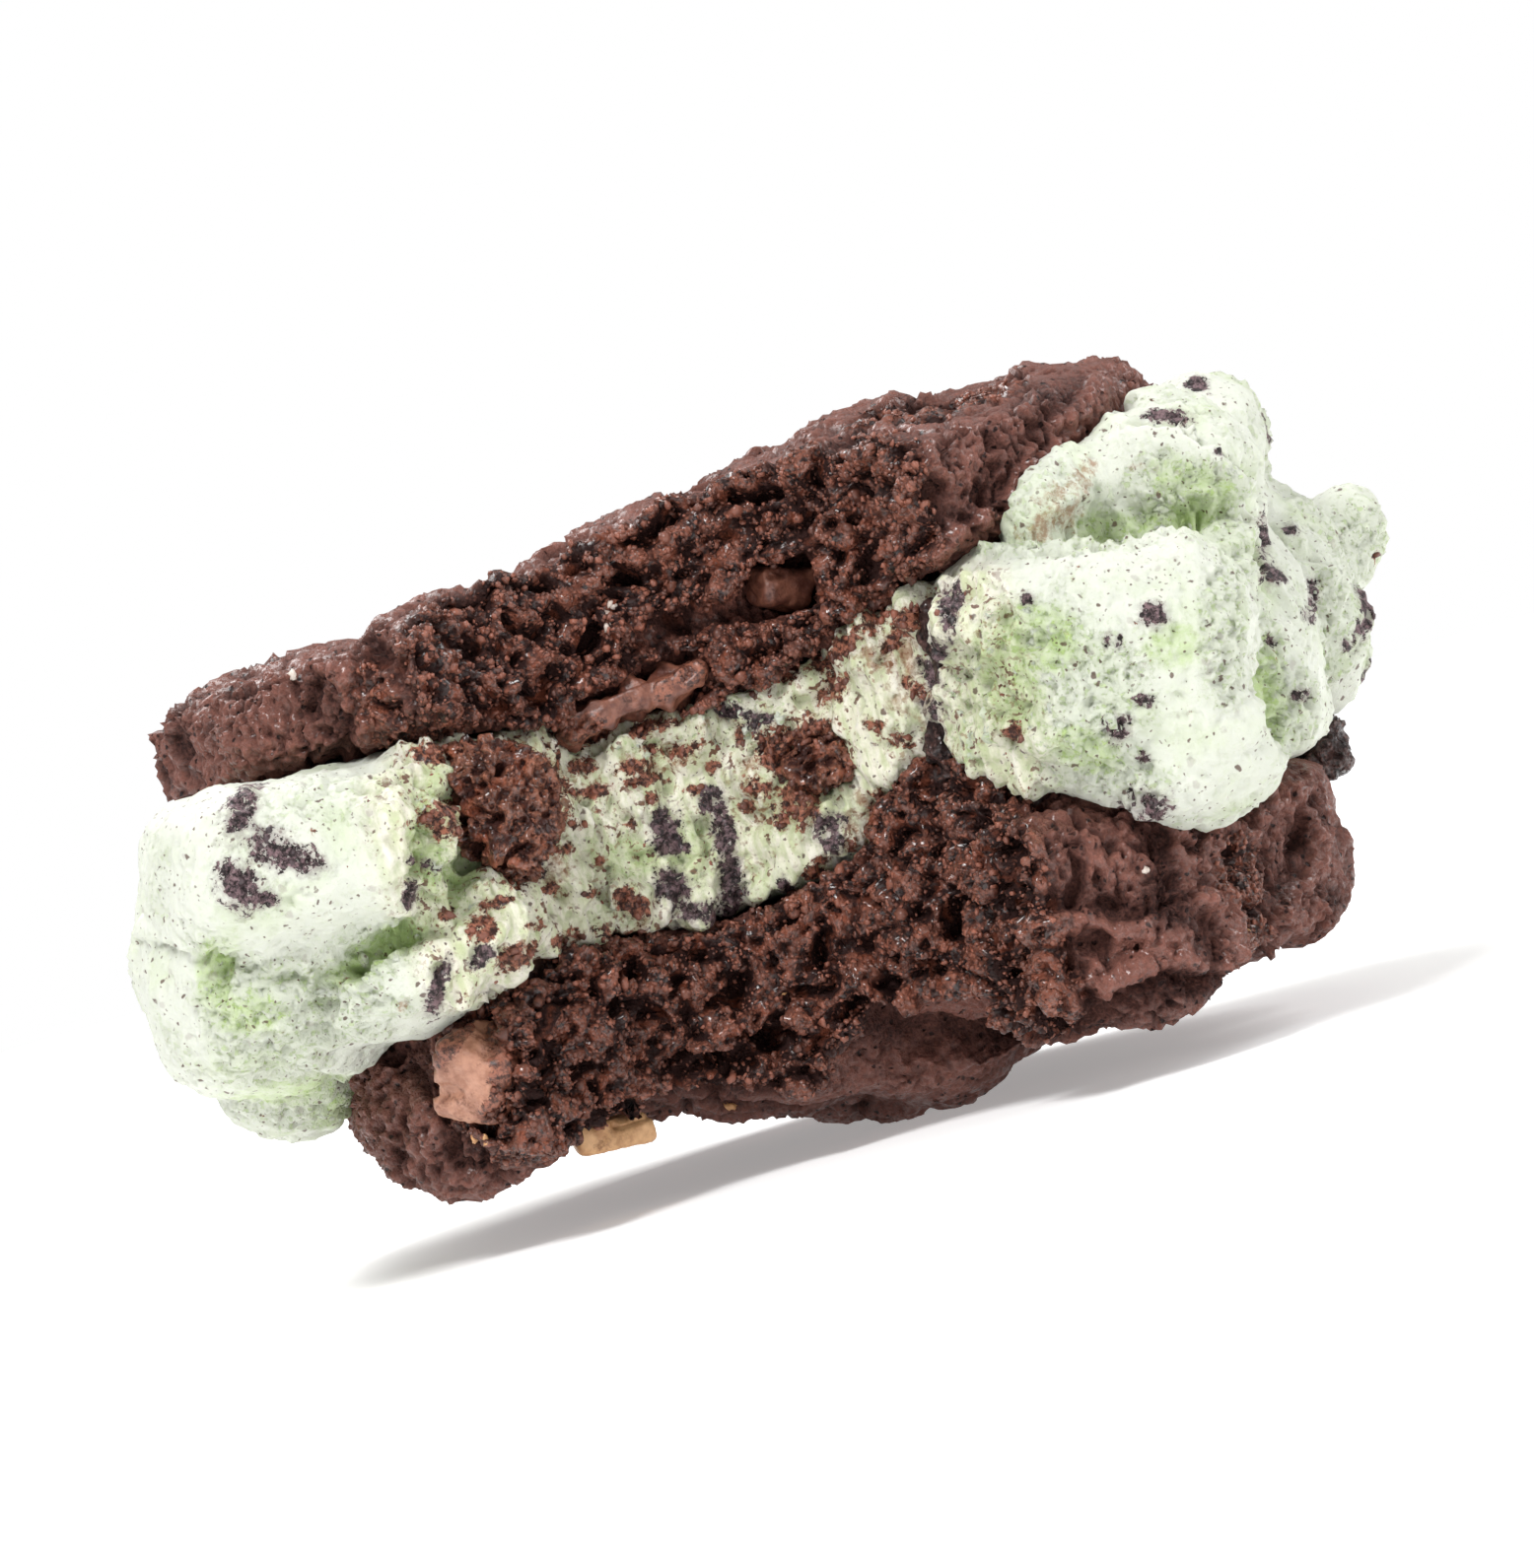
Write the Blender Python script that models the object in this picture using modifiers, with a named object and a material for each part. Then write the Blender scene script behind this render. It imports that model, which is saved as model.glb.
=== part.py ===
"""An ice cream sandwich: two thick chocolate cookies with mint ice cream between them.

One bite is taken out of the front. The sandwich lies on the domed, baked face of its lower cookie, which
is cut level for a few millimetres where it rests. Units are metres, +Z is up, -Y is the bitten front and +X
is the side where the filling bulges most.
"""

import math
import random

import bmesh
import bpy
from mathutils import Matrix, Vector, noise
from mathutils.bvhtree import BVHTree

MM = 0.001
SEED = 7

# The cookies, in millimetres. Each is a disc with a flat inner face and a domed, baked outer face.
# rim is the thickness at the edge, rim_slope what it gains per millimetre towards +X, and dome the extra
# height at the peak, which falls off over the spread. tilt raises the +X side, in degrees. side is 1 where
# the domed face points up and -1 where it points down.
COOKIE_R = 45
COOKIE_BOXINESS = 5.5
TOP = dict(
    centre=(-3.2, 0),
    inner_z=44,
    rim=11.5,
    rim_slope=0.03,
    dome=4.5,
    peak=(16, 4),
    spread=(22, 32),
    tilt=2,
    side=1,
)
BOTTOM = dict(
    centre=(2, 0),
    inner_z=23,
    rim=15,
    rim_slope=0.06,
    dome=7,
    peak=(1, 2),
    spread=(12.5, 24),
    tilt=1.5,
    side=-1,
)

# The bite, seen from above: a round notch of tooth marks in the front. Each layer gave way differently.
BITE_Y = -47
TOP_BITE = dict(centre_x=-3, radius=21.5, deep=1.0)
BOTTOM_BITE = dict(centre_x=-5, radius=22.5, deep=1.0)
ICE_BITE = dict(centre_x=-4, radius=23.0, deep=1.06)
TEETH = 7
TOOTH_R = 5.5

# The flat spot that the lower cookie rests on is cut this far above the lowest point of its dome
REST_CUT = 1.3

# Room left round a loose piece and round a cookie, the least room anywhere, and how finely solids are faceted
GAP = 0.6
COOKIE_GAP = 0.7
LEAST_GAP = 0.1
VOXEL = 0.9
FINE_VOXEL = 0.7
COOKIE_TRIANGLES = 3350
ICE_TRIANGLES = 4000
CRUMB_TRIANGLES = 160

BROWN = (0.085, 0.035, 0.025)
MINT = (0.66, 0.82, 0.60)
MILK_CHOCOLATE = (0.26, 0.11, 0.065)
DARK_COOKIE = (0.03, 0.018, 0.018)
PEANUT = (0.62, 0.33, 0.12)


def clear_scene():
    for old in list(bpy.data.objects):
        bpy.data.objects.remove(old)


def collection(name):
    made = bpy.data.collections.new(name)
    bpy.context.scene.collection.children.link(made)
    return made


def material(name, colour, roughness):
    made = bpy.data.materials.new(name)
    made.use_nodes = True
    shader = made.node_tree.nodes["Principled BSDF"]
    shader.inputs["Base Color"].default_value = (*colour, 1)
    shader.inputs["Roughness"].default_value = roughness
    shader.inputs["Metallic"].default_value = 0
    return made


def paint(obj, finish):
    """Gives the whole object one finish."""
    obj.data.materials.clear()
    obj.data.materials.append(finish)
    obj.data.polygons.foreach_set("material_index", [0] * len(obj.data.polygons))


def smooth_step(low, high, value):
    t = min(max((value - low) / (high - low), 0), 1)
    return t * t * (3 - 2 * t)


def hill(point, centre, width):
    """1 at the centre, falling off smoothly over the width, along as many axes as the centre has."""
    away = sum((a - b) ** 2 for a, b in zip(point, centre)) / width**2
    return math.exp(-away)


def add_object(bm, name, into):
    """Turns a bmesh drawn in millimetres into an object in metres."""
    bmesh.ops.scale(bm, vec=(MM, MM, MM), verts=bm.verts)
    mesh = bpy.data.meshes.new(name)
    bm.to_mesh(mesh)
    bm.free()
    made = bpy.data.objects.new(name, mesh)
    into.objects.link(made)
    return made


def apply_modifiers(obj):
    """Replaces the object's mesh by what its modifiers make of it."""
    bpy.context.view_layer.update()
    graph = bpy.context.evaluated_depsgraph_get()
    mesh = bpy.data.meshes.new_from_object(obj.evaluated_get(graph))
    old = obj.data
    obj.modifiers.clear()
    obj.data = mesh
    bpy.data.meshes.remove(old)


def remesh(obj, voxel):
    modifier = obj.modifiers.new("Even skin", "REMESH")
    modifier.mode = "VOXEL"
    modifier.voxel_size = voxel * MM
    apply_modifiers(obj)


def combine(obj, other, operation):
    modifier = obj.modifiers.new(operation.title(), "BOOLEAN")
    modifier.operation = operation
    modifier.solver = "MANIFOLD"
    modifier.object = other
    apply_modifiers(obj)


def simplify(obj, triangles):
    """Collapses the mesh to about this many triangles, most of them where the shape is busiest."""
    obj.data.calc_loop_triangles()
    modifier = obj.modifiers.new("Fewer faces", "DECIMATE")
    modifier.ratio = triangles / len(obj.data.loop_triangles)
    apply_modifiers(obj)


def relieve(obj, height_at):
    """Moves every point along its normal by height_at(point, normal), all in millimetres."""
    bm = bmesh.new()
    bm.from_mesh(obj.data)
    bm.normal_update()
    moves = [vert.normal * height_at(vert.co / MM, vert.normal) * MM for vert in bm.verts]
    for vert, move in zip(bm.verts, moves):
        vert.co += move
    bm.to_mesh(obj.data)
    bm.free()


def swollen_copy(obj, grow, into):
    """A copy that is larger all round by grow millimetres, to cut room for the object in its neighbour."""
    copy = bpy.data.objects.new(obj.name + "_room", obj.data.copy())
    into.objects.link(copy)
    relieve(copy, lambda point, normal: grow)
    return copy


def cut_room(obj, neighbours, gap, into, even=True):
    """Cuts each neighbour out of the object with a gap all round; even smooths the cutter's skin first."""
    for neighbour in neighbours:
        room = swollen_copy(neighbour, gap, into)
        if even:
            remesh(room, FINE_VOXEL)
        combine(obj, room, "DIFFERENCE")
        bpy.data.objects.remove(room)


def keep_largest_body(obj):
    """Drops the loose scraps that a cut can leave behind."""
    bm = bmesh.new()
    bm.from_mesh(obj.data)
    bodies = []
    waiting = set(bm.verts)
    while waiting:
        body = set()
        edge_of_body = [waiting.pop()]
        while edge_of_body:
            vert = edge_of_body.pop()
            body.add(vert)
            near = {edge.other_vert(vert) for edge in vert.link_edges} & waiting
            waiting -= near
            edge_of_body.extend(near)
        bodies.append(body)
    bodies.sort(key=len)
    for scrap in bodies[:-1]:
        bmesh.ops.delete(bm, geom=list(scrap), context="VERTS")
    bm.to_mesh(obj.data)
    bm.free()


def add_lump(bm, centre, radii, tilt=(0, 0, 0), boxiness=2.0, detail=4):
    """Adds a ball to the bmesh, stretched to its radii; a boxiness above 2 squares its sides off."""
    made = bmesh.ops.create_icosphere(bm, subdivisions=detail, radius=1)
    turn = Matrix.Rotation(math.radians(tilt[2]), 3, "Z") @ Matrix.Rotation(math.radians(tilt[1]), 3, "Y")
    turn = turn @ Matrix.Rotation(math.radians(tilt[0]), 3, "X")
    for vert in made["verts"]:
        size = sum(abs(c) ** boxiness for c in vert.co) ** (1 / boxiness)
        unit = vert.co / size
        vert.co = turn @ Vector(c * r for c, r in zip(unit, radii)) + Vector(centre)


def lump_object(name, lumps, into, voxel=VOXEL):
    """One closed skin around a list of overlapping lumps."""
    bm = bmesh.new()
    for lump in lumps:
        add_lump(bm, **lump)
    obj = add_object(bm, name, into)
    remesh(obj, voxel)
    return obj


def cookie_blank(name, shape, into):
    """A whole cookie, before the bite: a flat inner face at inner_z and a domed outer one."""
    bm = bmesh.new()
    bmesh.ops.create_icosphere(bm, subdivisions=6, radius=1)
    power = 2 / COOKIE_BOXINESS
    for vert in bm.verts:
        angle = math.atan2(vert.co.y, vert.co.x)
        around = Vector((math.cos(angle), math.sin(angle), 0))
        edge = COOKIE_R * (1 + 0.03 * noise.noise(around * 2.1 + Vector((shape["inner_z"], 0, 0))))
        reach = min(math.hypot(vert.co.x, vert.co.y), 1) ** power
        x = edge * reach * around.x
        y = edge * reach * around.y
        height = math.copysign(abs(vert.co.z) ** power, vert.co.z)
        from_peak = math.hypot(*((a - b) / c for a, b, c in zip((x, y), shape["peak"], shape["spread"])))
        swell = shape["dome"] * math.exp(-(from_peak**2)) if height > 0 else 0
        half = (shape["rim"] + shape["rim_slope"] * x) / 2
        z = shape["side"] * (half + height * (half + swell))
        vert.co = (x + shape["centre"][0], y + shape["centre"][1], z)
    turn = Matrix.Rotation(math.radians(-shape["tilt"]), 4, "Y")
    bmesh.ops.transform(bm, matrix=turn, verts=bm.verts)
    bmesh.ops.translate(bm, vec=(0, 0, shape["inner_z"]), verts=bm.verts)
    if shape["side"] < 0:
        bmesh.ops.reverse_faces(bm, faces=bm.faces)
    return add_object(bm, name, into)


def bite_lumps(bite, low, high):
    """Tooth marks round an arc, from height low to high, with one large lump for the mouthful."""
    middle = (low + high) / 2
    half = (high - low) / 2
    mouthful = bite["radius"] - TOOTH_R * 0.6
    lumps = [
        dict(
            centre=(bite["centre_x"], BITE_Y, middle),
            radii=(mouthful, mouthful * bite["deep"], half),
            boxiness=2.6,
        )
    ]
    for tooth in range(TEETH):
        angle = math.radians(18 + 144 * tooth / (TEETH - 1))
        reach = bite["radius"] - TOOTH_R
        x = bite["centre_x"] + reach * math.cos(angle)
        y = BITE_Y + reach * math.sin(angle) * bite["deep"]
        lumps.append(dict(centre=(x, y, middle), radii=(TOOTH_R, TOOTH_R, half), boxiness=3, detail=3))
    return lumps


def bite_off(obj, bite, low, high, cutters):
    mouthful = lump_object(obj.name + "_bite", bite_lumps(bite, low, high), cutters)
    combine(obj, mouthful, "DIFFERENCE")
    bpy.data.objects.remove(mouthful)


def in_bite(point, bite, margin):
    """How far a point is inside the bitten part, from 0 to 1."""
    away = math.hypot(point.x - bite["centre_x"], (point.y - BITE_Y) / bite["deep"])
    reach = bite["radius"] + margin
    return 1 - smooth_step(reach - 1.5, reach + 1.5, away)


def warp(point, size):
    """A smooth, repeatable wobble in all three directions, about 1 mm each way."""
    at = point / size
    return Vector(noise.noise(at + Vector(offset)) for offset in ((9.3, 0, 0), (0, 17.1, 0), (0, 0, 31.7)))


def clumps(point, size):
    """Rounded clumps of crumb with clefts between them: 1 on a clump, 0 in a cleft."""
    near = noise.voronoi(point / size)[0]
    return smooth_step(0, 0.4, near[1] - near[0])


def cookie_relief(point, normal, shape, bite):
    """The torn crumb inside the bite and the cracked crust everywhere else. The inner face stays plain."""
    torn = in_bite(point, bite, 1.5)
    crumb = 1.3 * (clumps(point + 2 * warp(point, 4), 4.5) - 0.6) + 0.9 * noise.noise(point / 3)
    waves = 1.1 * noise.noise(point / 14) + 0.7 * noise.noise(point / 6)
    cracks = -1.3 * (1 - clumps(point + 4 * warp(point, 9), 12))
    facing_ice = smooth_step(0.5, 0.9, -normal.z * shape["side"])
    crust = (waves + cracks) * (1 - facing_ice)
    return crust * (1 - torn) + crumb * torn


def hills_at(point, hills):
    return sum(h["height"] * hill(point, h["centre"], h["width"]) for h in hills)


# Where the baked faces rise or dip most, and the lip of crumb by which each inner face overlaps the filling
TOP_HILLS = (
    dict(centre=(30, -17, 57), width=9, height=2.0),
    dict(centre=(14, -8, 60), width=6, height=0.5),
    dict(centre=(23, -20, 59), width=4, height=-2.2),
    dict(centre=(-11, -2, 57), width=6, height=1.2),
    dict(centre=(-22, -14, 55), width=10, height=-2.2),
    dict(centre=(-42, -6, 54), width=10, height=2.2),
)
TOP_LIP = dict(centre=(-3, -25), width=14, reach=4.5)
BOTTOM_LIP = dict(centre=(13, -31), width=8.5, reach=9)
BOTTOM_HILLS = (
    dict(centre=(26, -38, 18), width=8, height=2.0),
    dict(centre=(18, -35, 11), width=6, height=2.0),
    dict(centre=(-30, -30, 15), width=9, height=1.5),
    dict(centre=(-42, -10, 24), width=8, height=-4.0),
    dict(centre=(-18, -29, 23), width=8, height=2.5),
    dict(centre=(-32, -25, 8), width=10, height=2.2),
    dict(centre=(-14, -22, 7), width=8, height=-2.2),
    dict(centre=(47, 0, 9), width=9, height=-3.0),
    dict(centre=(28, -38, 7.5), width=8, height=3.2),
    dict(centre=(-36, -28, 9), width=7, height=3.0),
    dict(centre=(12, -10, 4), width=7, height=1.8),
)
# The fissure across the torn face of the top cookie, and the hollow beside its melted piece
TOP_HOLLOWS = (
    dict(centre=(5, -25, 47), radii=(4.5, 4, 2.2), tilt=(0, -8, 0), detail=3),
    dict(centre=(-3, -25, 46.5), radii=(7, 3, 1.0), tilt=(0, -6, 0), detail=3),
    dict(centre=(-9, -25.5, 38.2), radii=(5, 4, 1.5), tilt=(0, -15, 0), detail=3),
)
# Where the lower crust broke away under a flap of crumb, and the cracks between the slabs of rim beside it
BOTTOM_HOLLOWS = (
    dict(centre=(6, -27, 8), radii=(10, 8, 4.5), tilt=(0, -8, 0), detail=3),
    dict(centre=(25, -44, 12.3), radii=(11, 6, 0.9), tilt=(0, 12, 0), detail=3),
    dict(centre=(32, -40, 16), radii=(0.9, 6, 6), tilt=(0, 12, 0), detail=3),
)


def build_cookie(name, shape, bite, hills, hollows, lip, embedded, parts, cutters):
    """Bakes, bites and cracks a cookie, and cuts room in it for the pieces embedded in it."""
    cookie = cookie_blank(name, shape, parts)

    def lip_at(point, normal):
        facing_ice = smooth_step(0, 0.8, -normal.z * shape["side"])
        return lip["reach"] * facing_ice * hill(point, lip["centre"], lip["width"])

    relieve(cookie, lip_at)
    bite_off(cookie, bite, shape["inner_z"] - 35, shape["inner_z"] + 35, cutters)
    remesh(cookie, VOXEL)
    relieve(cookie, lambda p, n: cookie_relief(p, n, shape, bite) + hills_at(p, hills))
    hollow = lump_object(name + "_hollows", hollows, cutters, 0.5)
    combine(cookie, hollow, "DIFFERENCE")
    bpy.data.objects.remove(hollow)
    cut_room(cookie, embedded, GAP, cutters)
    remesh(cookie, FINE_VOXEL)
    keep_largest_body(cookie)
    simplify(cookie, COOKIE_TRIANGLES)
    cut_room(cookie, embedded, LEAST_GAP, cutters, even=False)
    keep_largest_body(cookie)
    return cookie


# The filling's big lumps, as it squeezed out: left of the bite, right of it, and round the back
LEFT_LUMPS = (
    dict(centre=(-37, -27, 36.7), radii=(12.4, 20, 6.3), tilt=(0, 9, 8), boxiness=3.4),
    dict(centre=(-40.5, -15, 30), radii=(13, 26, 11), tilt=(0, -14, 0), boxiness=2.4),
    dict(centre=(-29, -32, 26.5), radii=(9, 10, 4.5), tilt=(0, -14, 0), boxiness=2.6),
    dict(centre=(-44, -6, 20.5), radii=(7.5, 14, 5.5), tilt=(0, 8, 0)),
    dict(centre=(-40, 14, 31), radii=(14, 20, 12)),
)
RIGHT_LUMPS = (
    dict(centre=(28.5, -33, 34.5), radii=(10, 13.5, 9), tilt=(0, 8, 0), boxiness=3.2),
    dict(centre=(31, -33, 27), radii=(8.5, 11, 7), tilt=(0, 22, 0), boxiness=2.6),
    dict(centre=(20.5, -37, 40.5), radii=(4, 8, 3.5), tilt=(0, -15, 0)),
    dict(centre=(25, -29, 45.5), radii=(8, 10, 5), tilt=(0, -45, 0)),
    dict(centre=(36, -20, 45), radii=(9, 13, 9.5), tilt=(0, 20, 0), boxiness=2.3),
    dict(centre=(42.3, -3, 49), radii=(5.5, 10, 7), tilt=(0, 30, 0), boxiness=2.4),
    dict(centre=(44.5, 3, 35), radii=(7.2, 16, 10), boxiness=2.8),
    dict(centre=(53, 5, 39), radii=(3.4, 5.5, 4.2), tilt=(0, 35, 0)),
    dict(centre=(13, -22, 36), radii=(6, 9, 8)),
)


def back_lumps():
    """Uneven bulges of filling round the back, which the bite never reached."""
    rng = random.Random(SEED)
    lumps = []
    for step in range(9):
        angle = math.radians(15 + 150 * step / 8)
        reach = rng.uniform(33, 37)
        lumps.append(
            dict(
                centre=(reach * math.cos(angle), reach * math.sin(angle), rng.uniform(31, 35)),
                radii=(rng.uniform(11, 14), rng.uniform(11, 14), rng.uniform(10, 13)),
                detail=3,
            )
        )
    return lumps


def ice_relief(point, normal):
    """Soft waves where the filling is smooth, and a dragged, uneven face where it was bitten."""
    bitten = in_bite(point, ICE_BITE, 1.5)
    waves = 0.9 * noise.noise(point / 8) + 0.7 * noise.noise(point / 3.5)
    dragged = 0.8 * noise.noise(Vector((point.x / 3, point.y / 3, point.z / 12)))
    return waves * (1 - bitten) + (dragged + 0.6 * noise.noise(point / 5)) * bitten


# Dark bits of cookie that show on the face of the filling: where they lie, seen from the front (x, z), and
# their width
ICE_BITS = (
    (-38.6, 41.2, 4.5),
    (-36.3, 37.5, 7),
    (-40.6, 36, 4.5),
    (-18.9, 32.1, 3.5),
    (-12.7, 26.3, 4.5),
    (-7.9, 30.3, 4),
    (-8.2, 26.3, 4.5),
    (-4.4, 26.8, 4),
    (3.5, 27, 4.5),
    (31.5, 36.7, 4),
    (26.7, 29.4, 3),
    (27.6, 23.1, 3.5),
    (48.9, 34.8, 4),
    (46.4, 39.6, 4),
    (39.6, 52.4, 3),
)


def fuse_bits(ice):
    """Presses the dark bits into the front of the filling, half sunk, and makes one solid of them all."""
    rng = random.Random(SEED)
    skin = bmesh.new()
    skin.from_mesh(ice.data)
    tree = BVHTree.FromBMesh(skin)
    skin.free()
    bits = collection("bits")
    for number, (x, z, width) in enumerate(ICE_BITS):
        hit = tree.ray_cast(Vector((x, -100, z)) * MM, Vector((0, 1, 0)))[0]
        bm = bmesh.new()
        bmesh.ops.create_icosphere(bm, subdivisions=1, radius=width / 2)
        for vert in bm.verts:
            vert.co *= rng.uniform(0.8, 1.15)
            vert.co.y *= 0.45
            vert.co += hit / MM
        add_object(bm, f"bit_{number}", bits)
    modifier = ice.modifiers.new("Fused bits", "BOOLEAN")
    modifier.operation = "UNION"
    modifier.solver = "MANIFOLD"
    modifier.operand_type = "COLLECTION"
    modifier.collection = bits
    apply_modifiers(ice)
    for bit in list(bits.objects):
        bpy.data.objects.remove(bit)
    bpy.data.collections.remove(bits)


def build_ice_cream(cookies, pieces, parts, cutters):
    core = [dict(centre=(1, 3, 33.2), radii=(45, 42, 11.8), boxiness=5, detail=5)]
    ice = lump_object("ice_cream", core, parts)
    bite_off(ice, ICE_BITE, 5, 60, cutters)
    bm = bmesh.new()
    for lump in (*LEFT_LUMPS, *RIGHT_LUMPS, *back_lumps()):
        add_lump(bm, **lump)
    lobes = add_object(bm, "ice_lobes", cutters)
    remesh(lobes, VOXEL)
    combine(ice, lobes, "UNION")
    bpy.data.objects.remove(lobes)
    remesh(ice, VOXEL)
    relieve(ice, ice_relief)
    cut_room(ice, cookies, COOKIE_GAP, cutters)
    cut_room(ice, pieces, GAP, cutters)
    remesh(ice, FINE_VOXEL)
    keep_largest_body(ice)
    simplify(ice, ICE_TRIANGLES)
    fuse_bits(ice)
    cut_room(ice, (*cookies, *pieces), LEAST_GAP, cutters, even=False)
    keep_largest_body(ice)
    return ice


# Loose pieces large enough to pick out: broken chocolate is a faceted block, crumb a knobbly lump
CHOCOLATE_PIECES = (
    dict(
        name="milk_chocolate_chunk",
        centre=(-27.3, -33.5, 17),
        size=(6.8, 7, 7.5),
        tilt=(20, 30, -25),
        finish="milk",
    ),
    dict(
        name="melted_chocolate",
        centre=(-8.6, -24, 41.8),
        size=(13, 4.5, 3),
        tilt=(0, -7, 4),
        finish="milk",
    ),
    dict(
        name="chocolate_chip",
        centre=(5.3, -22.5, 47.2),
        size=(5.5, 4.5, 4),
        tilt=(10, 15, 30),
        finish="milk",
    ),
    dict(
        name="peanut_butter_chip",
        centre=(-19.4, -24, 9),
        size=(7.5, 5, 3),
        tilt=(0, 5, 10),
        finish="peanut",
    ),
)
CRUMB_PIECES = (
    dict(name="fallen_crumb", centre=(-20.3, -35.5, 36.3), size=(9, 6, 11.5), finish="crumb"),
    dict(name="small_crumb", centre=(4.8, -25, 33), size=(7, 4, 4.5), finish="crumb"),
    dict(name="dark_cookie_side", centre=(45.5, 1, 22.5), size=(6, 12, 6), finish="dark"),
    dict(name="dark_cookie_upper", centre=(16.5, -33, 39), size=(3.5, 5, 8), finish="dark"),
    dict(name="dark_cookie_lower", centre=(14.5, -31.5, 32), size=(4, 5, 6), finish="dark"),
)


def turned(size, tilt):
    turn = Matrix.Rotation(math.radians(tilt[2]), 4, "Z") @ Matrix.Rotation(math.radians(tilt[1]), 4, "Y")
    turn = turn @ Matrix.Rotation(math.radians(tilt[0]), 4, "X")
    return turn @ Matrix.Diagonal((*size, 1))


def chocolate_piece(name, centre, size, tilt, finish, parts, finishes):
    """A broken block: a cube whose corners are pushed about, with its edges worn round."""
    rng = random.Random(name)
    bm = bmesh.new()
    bmesh.ops.create_cube(bm, size=1)
    for vert in bm.verts:
        vert.co *= rng.uniform(0.72, 1.0)
    bmesh.ops.transform(bm, matrix=Matrix.Translation(centre) @ turned(size, tilt), verts=bm.verts)
    bmesh.ops.bevel(
        bm, geom=bm.edges, affect="EDGES", offset=min(size) * 0.16, segments=2, profile=0.5, material=-1
    )
    piece = add_object(bm, name, parts)
    paint(piece, finishes[finish])
    return piece


def crumb_piece(name, centre, size, finish, parts, finishes):
    bm = bmesh.new()
    bmesh.ops.create_icosphere(bm, subdivisions=3, radius=0.5)
    for vert in bm.verts:
        knobs = 1 + 0.28 * noise.noise(vert.co * 5 + Vector(centre)) + 0.15 * noise.noise(vert.co * 11)
        vert.co = Vector(c * s * knobs for c, s in zip(vert.co, size)) + Vector(centre)
    piece = add_object(bm, name, parts)
    simplify(piece, CRUMB_TRIANGLES)
    paint(piece, finishes[finish])
    return piece


def flatten_base(obj, height, cutters):
    """Cuts the underside off level, which leaves the flat spot that the sandwich rests on."""
    bm = bmesh.new()
    bmesh.ops.create_cube(bm, size=4 * COOKIE_R)
    block = add_object(bm, obj.name + "_below", cutters)
    block.data.transform(Matrix.Translation((0, 0, height - 2 * COOKIE_R * MM)))
    combine(obj, block, "DIFFERENCE")
    bpy.data.objects.remove(block)


def lowest_z(obj):
    return min(vert.co.z for vert in obj.data.vertices)


def centre_on_origin(objects):
    """Puts the middle of the whole sandwich's underside at the origin."""
    points = [vert.co for obj in objects for vert in obj.data.vertices]
    low = Vector(min(p[axis] for p in points) for axis in range(3))
    high = Vector(max(p[axis] for p in points) for axis in range(3))
    shift = Vector((-(low.x + high.x) / 2, -(low.y + high.y) / 2, -low.z))
    for obj in objects:
        obj.data.transform(Matrix.Translation(shift))
    return shift


def main():
    clear_scene()
    parts = collection("ice_cream_sandwich")
    cutters = collection("cutters")
    finishes = {
        "crumb": material("cookie_crumb", BROWN, 0.7),
        "mint": material("mint_ice_cream", MINT, 0.45),
        "milk": material("milk_chocolate", MILK_CHOCOLATE, 0.45),
        "dark": material("dark_cookie", DARK_COOKIE, 0.6),
        "peanut": material("peanut_butter", PEANUT, 0.5),
    }
    pieces = {p["name"]: chocolate_piece(**p, parts=parts, finishes=finishes) for p in CHOCOLATE_PIECES}
    pieces.update({p["name"]: crumb_piece(**p, parts=parts, finishes=finishes) for p in CRUMB_PIECES})
    in_top = [pieces[name] for name in ("melted_chocolate", "chocolate_chip", "fallen_crumb")]
    in_bottom = [
        pieces[name]
        for name in ("milk_chocolate_chunk", "peanut_butter_chip", "dark_cookie_side", "dark_cookie_lower")
    ]
    into = dict(parts=parts, cutters=cutters)
    top = build_cookie("top_cookie", TOP, TOP_BITE, TOP_HILLS, TOP_HOLLOWS, TOP_LIP, in_top, **into)
    bottom = build_cookie(
        "bottom_cookie", BOTTOM, BOTTOM_BITE, BOTTOM_HILLS, BOTTOM_HOLLOWS, BOTTOM_LIP, in_bottom, **into
    )
    flatten_base(bottom, lowest_z(bottom) + REST_CUT * MM, cutters)
    ice = build_ice_cream((top, bottom), pieces.values(), parts, cutters)
    paint(top, finishes["crumb"])
    paint(bottom, finishes["crumb"])
    paint(ice, finishes["mint"])
    shift = centre_on_origin([top, bottom, ice, *pieces.values()])
    print("moved to the origin by", [round(c / MM, 2) for c in shift], "mm")


main()
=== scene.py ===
# %% [markdown]
# # An ice cream sandwich with a bite out of it
#
# Two thick chocolate cookies hold a slab of speckled mint ice cream. One bite from the front shows what
# each layer is made of: baked crust outside, damp crumb inside, and cream that the teeth dragged into
# streaks. The shapes are already there as plain closed solids. This lesson gives each of them the surface
# of the real thing, first as relief in the mesh and then as a finish made of nodes.

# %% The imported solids, and millimetres
import math
import random

import bmesh
import bpy
import numpy as np
from mathutils import Euler, Matrix, Vector, noise
from mathutils.bvhtree import BVHTree


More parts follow.
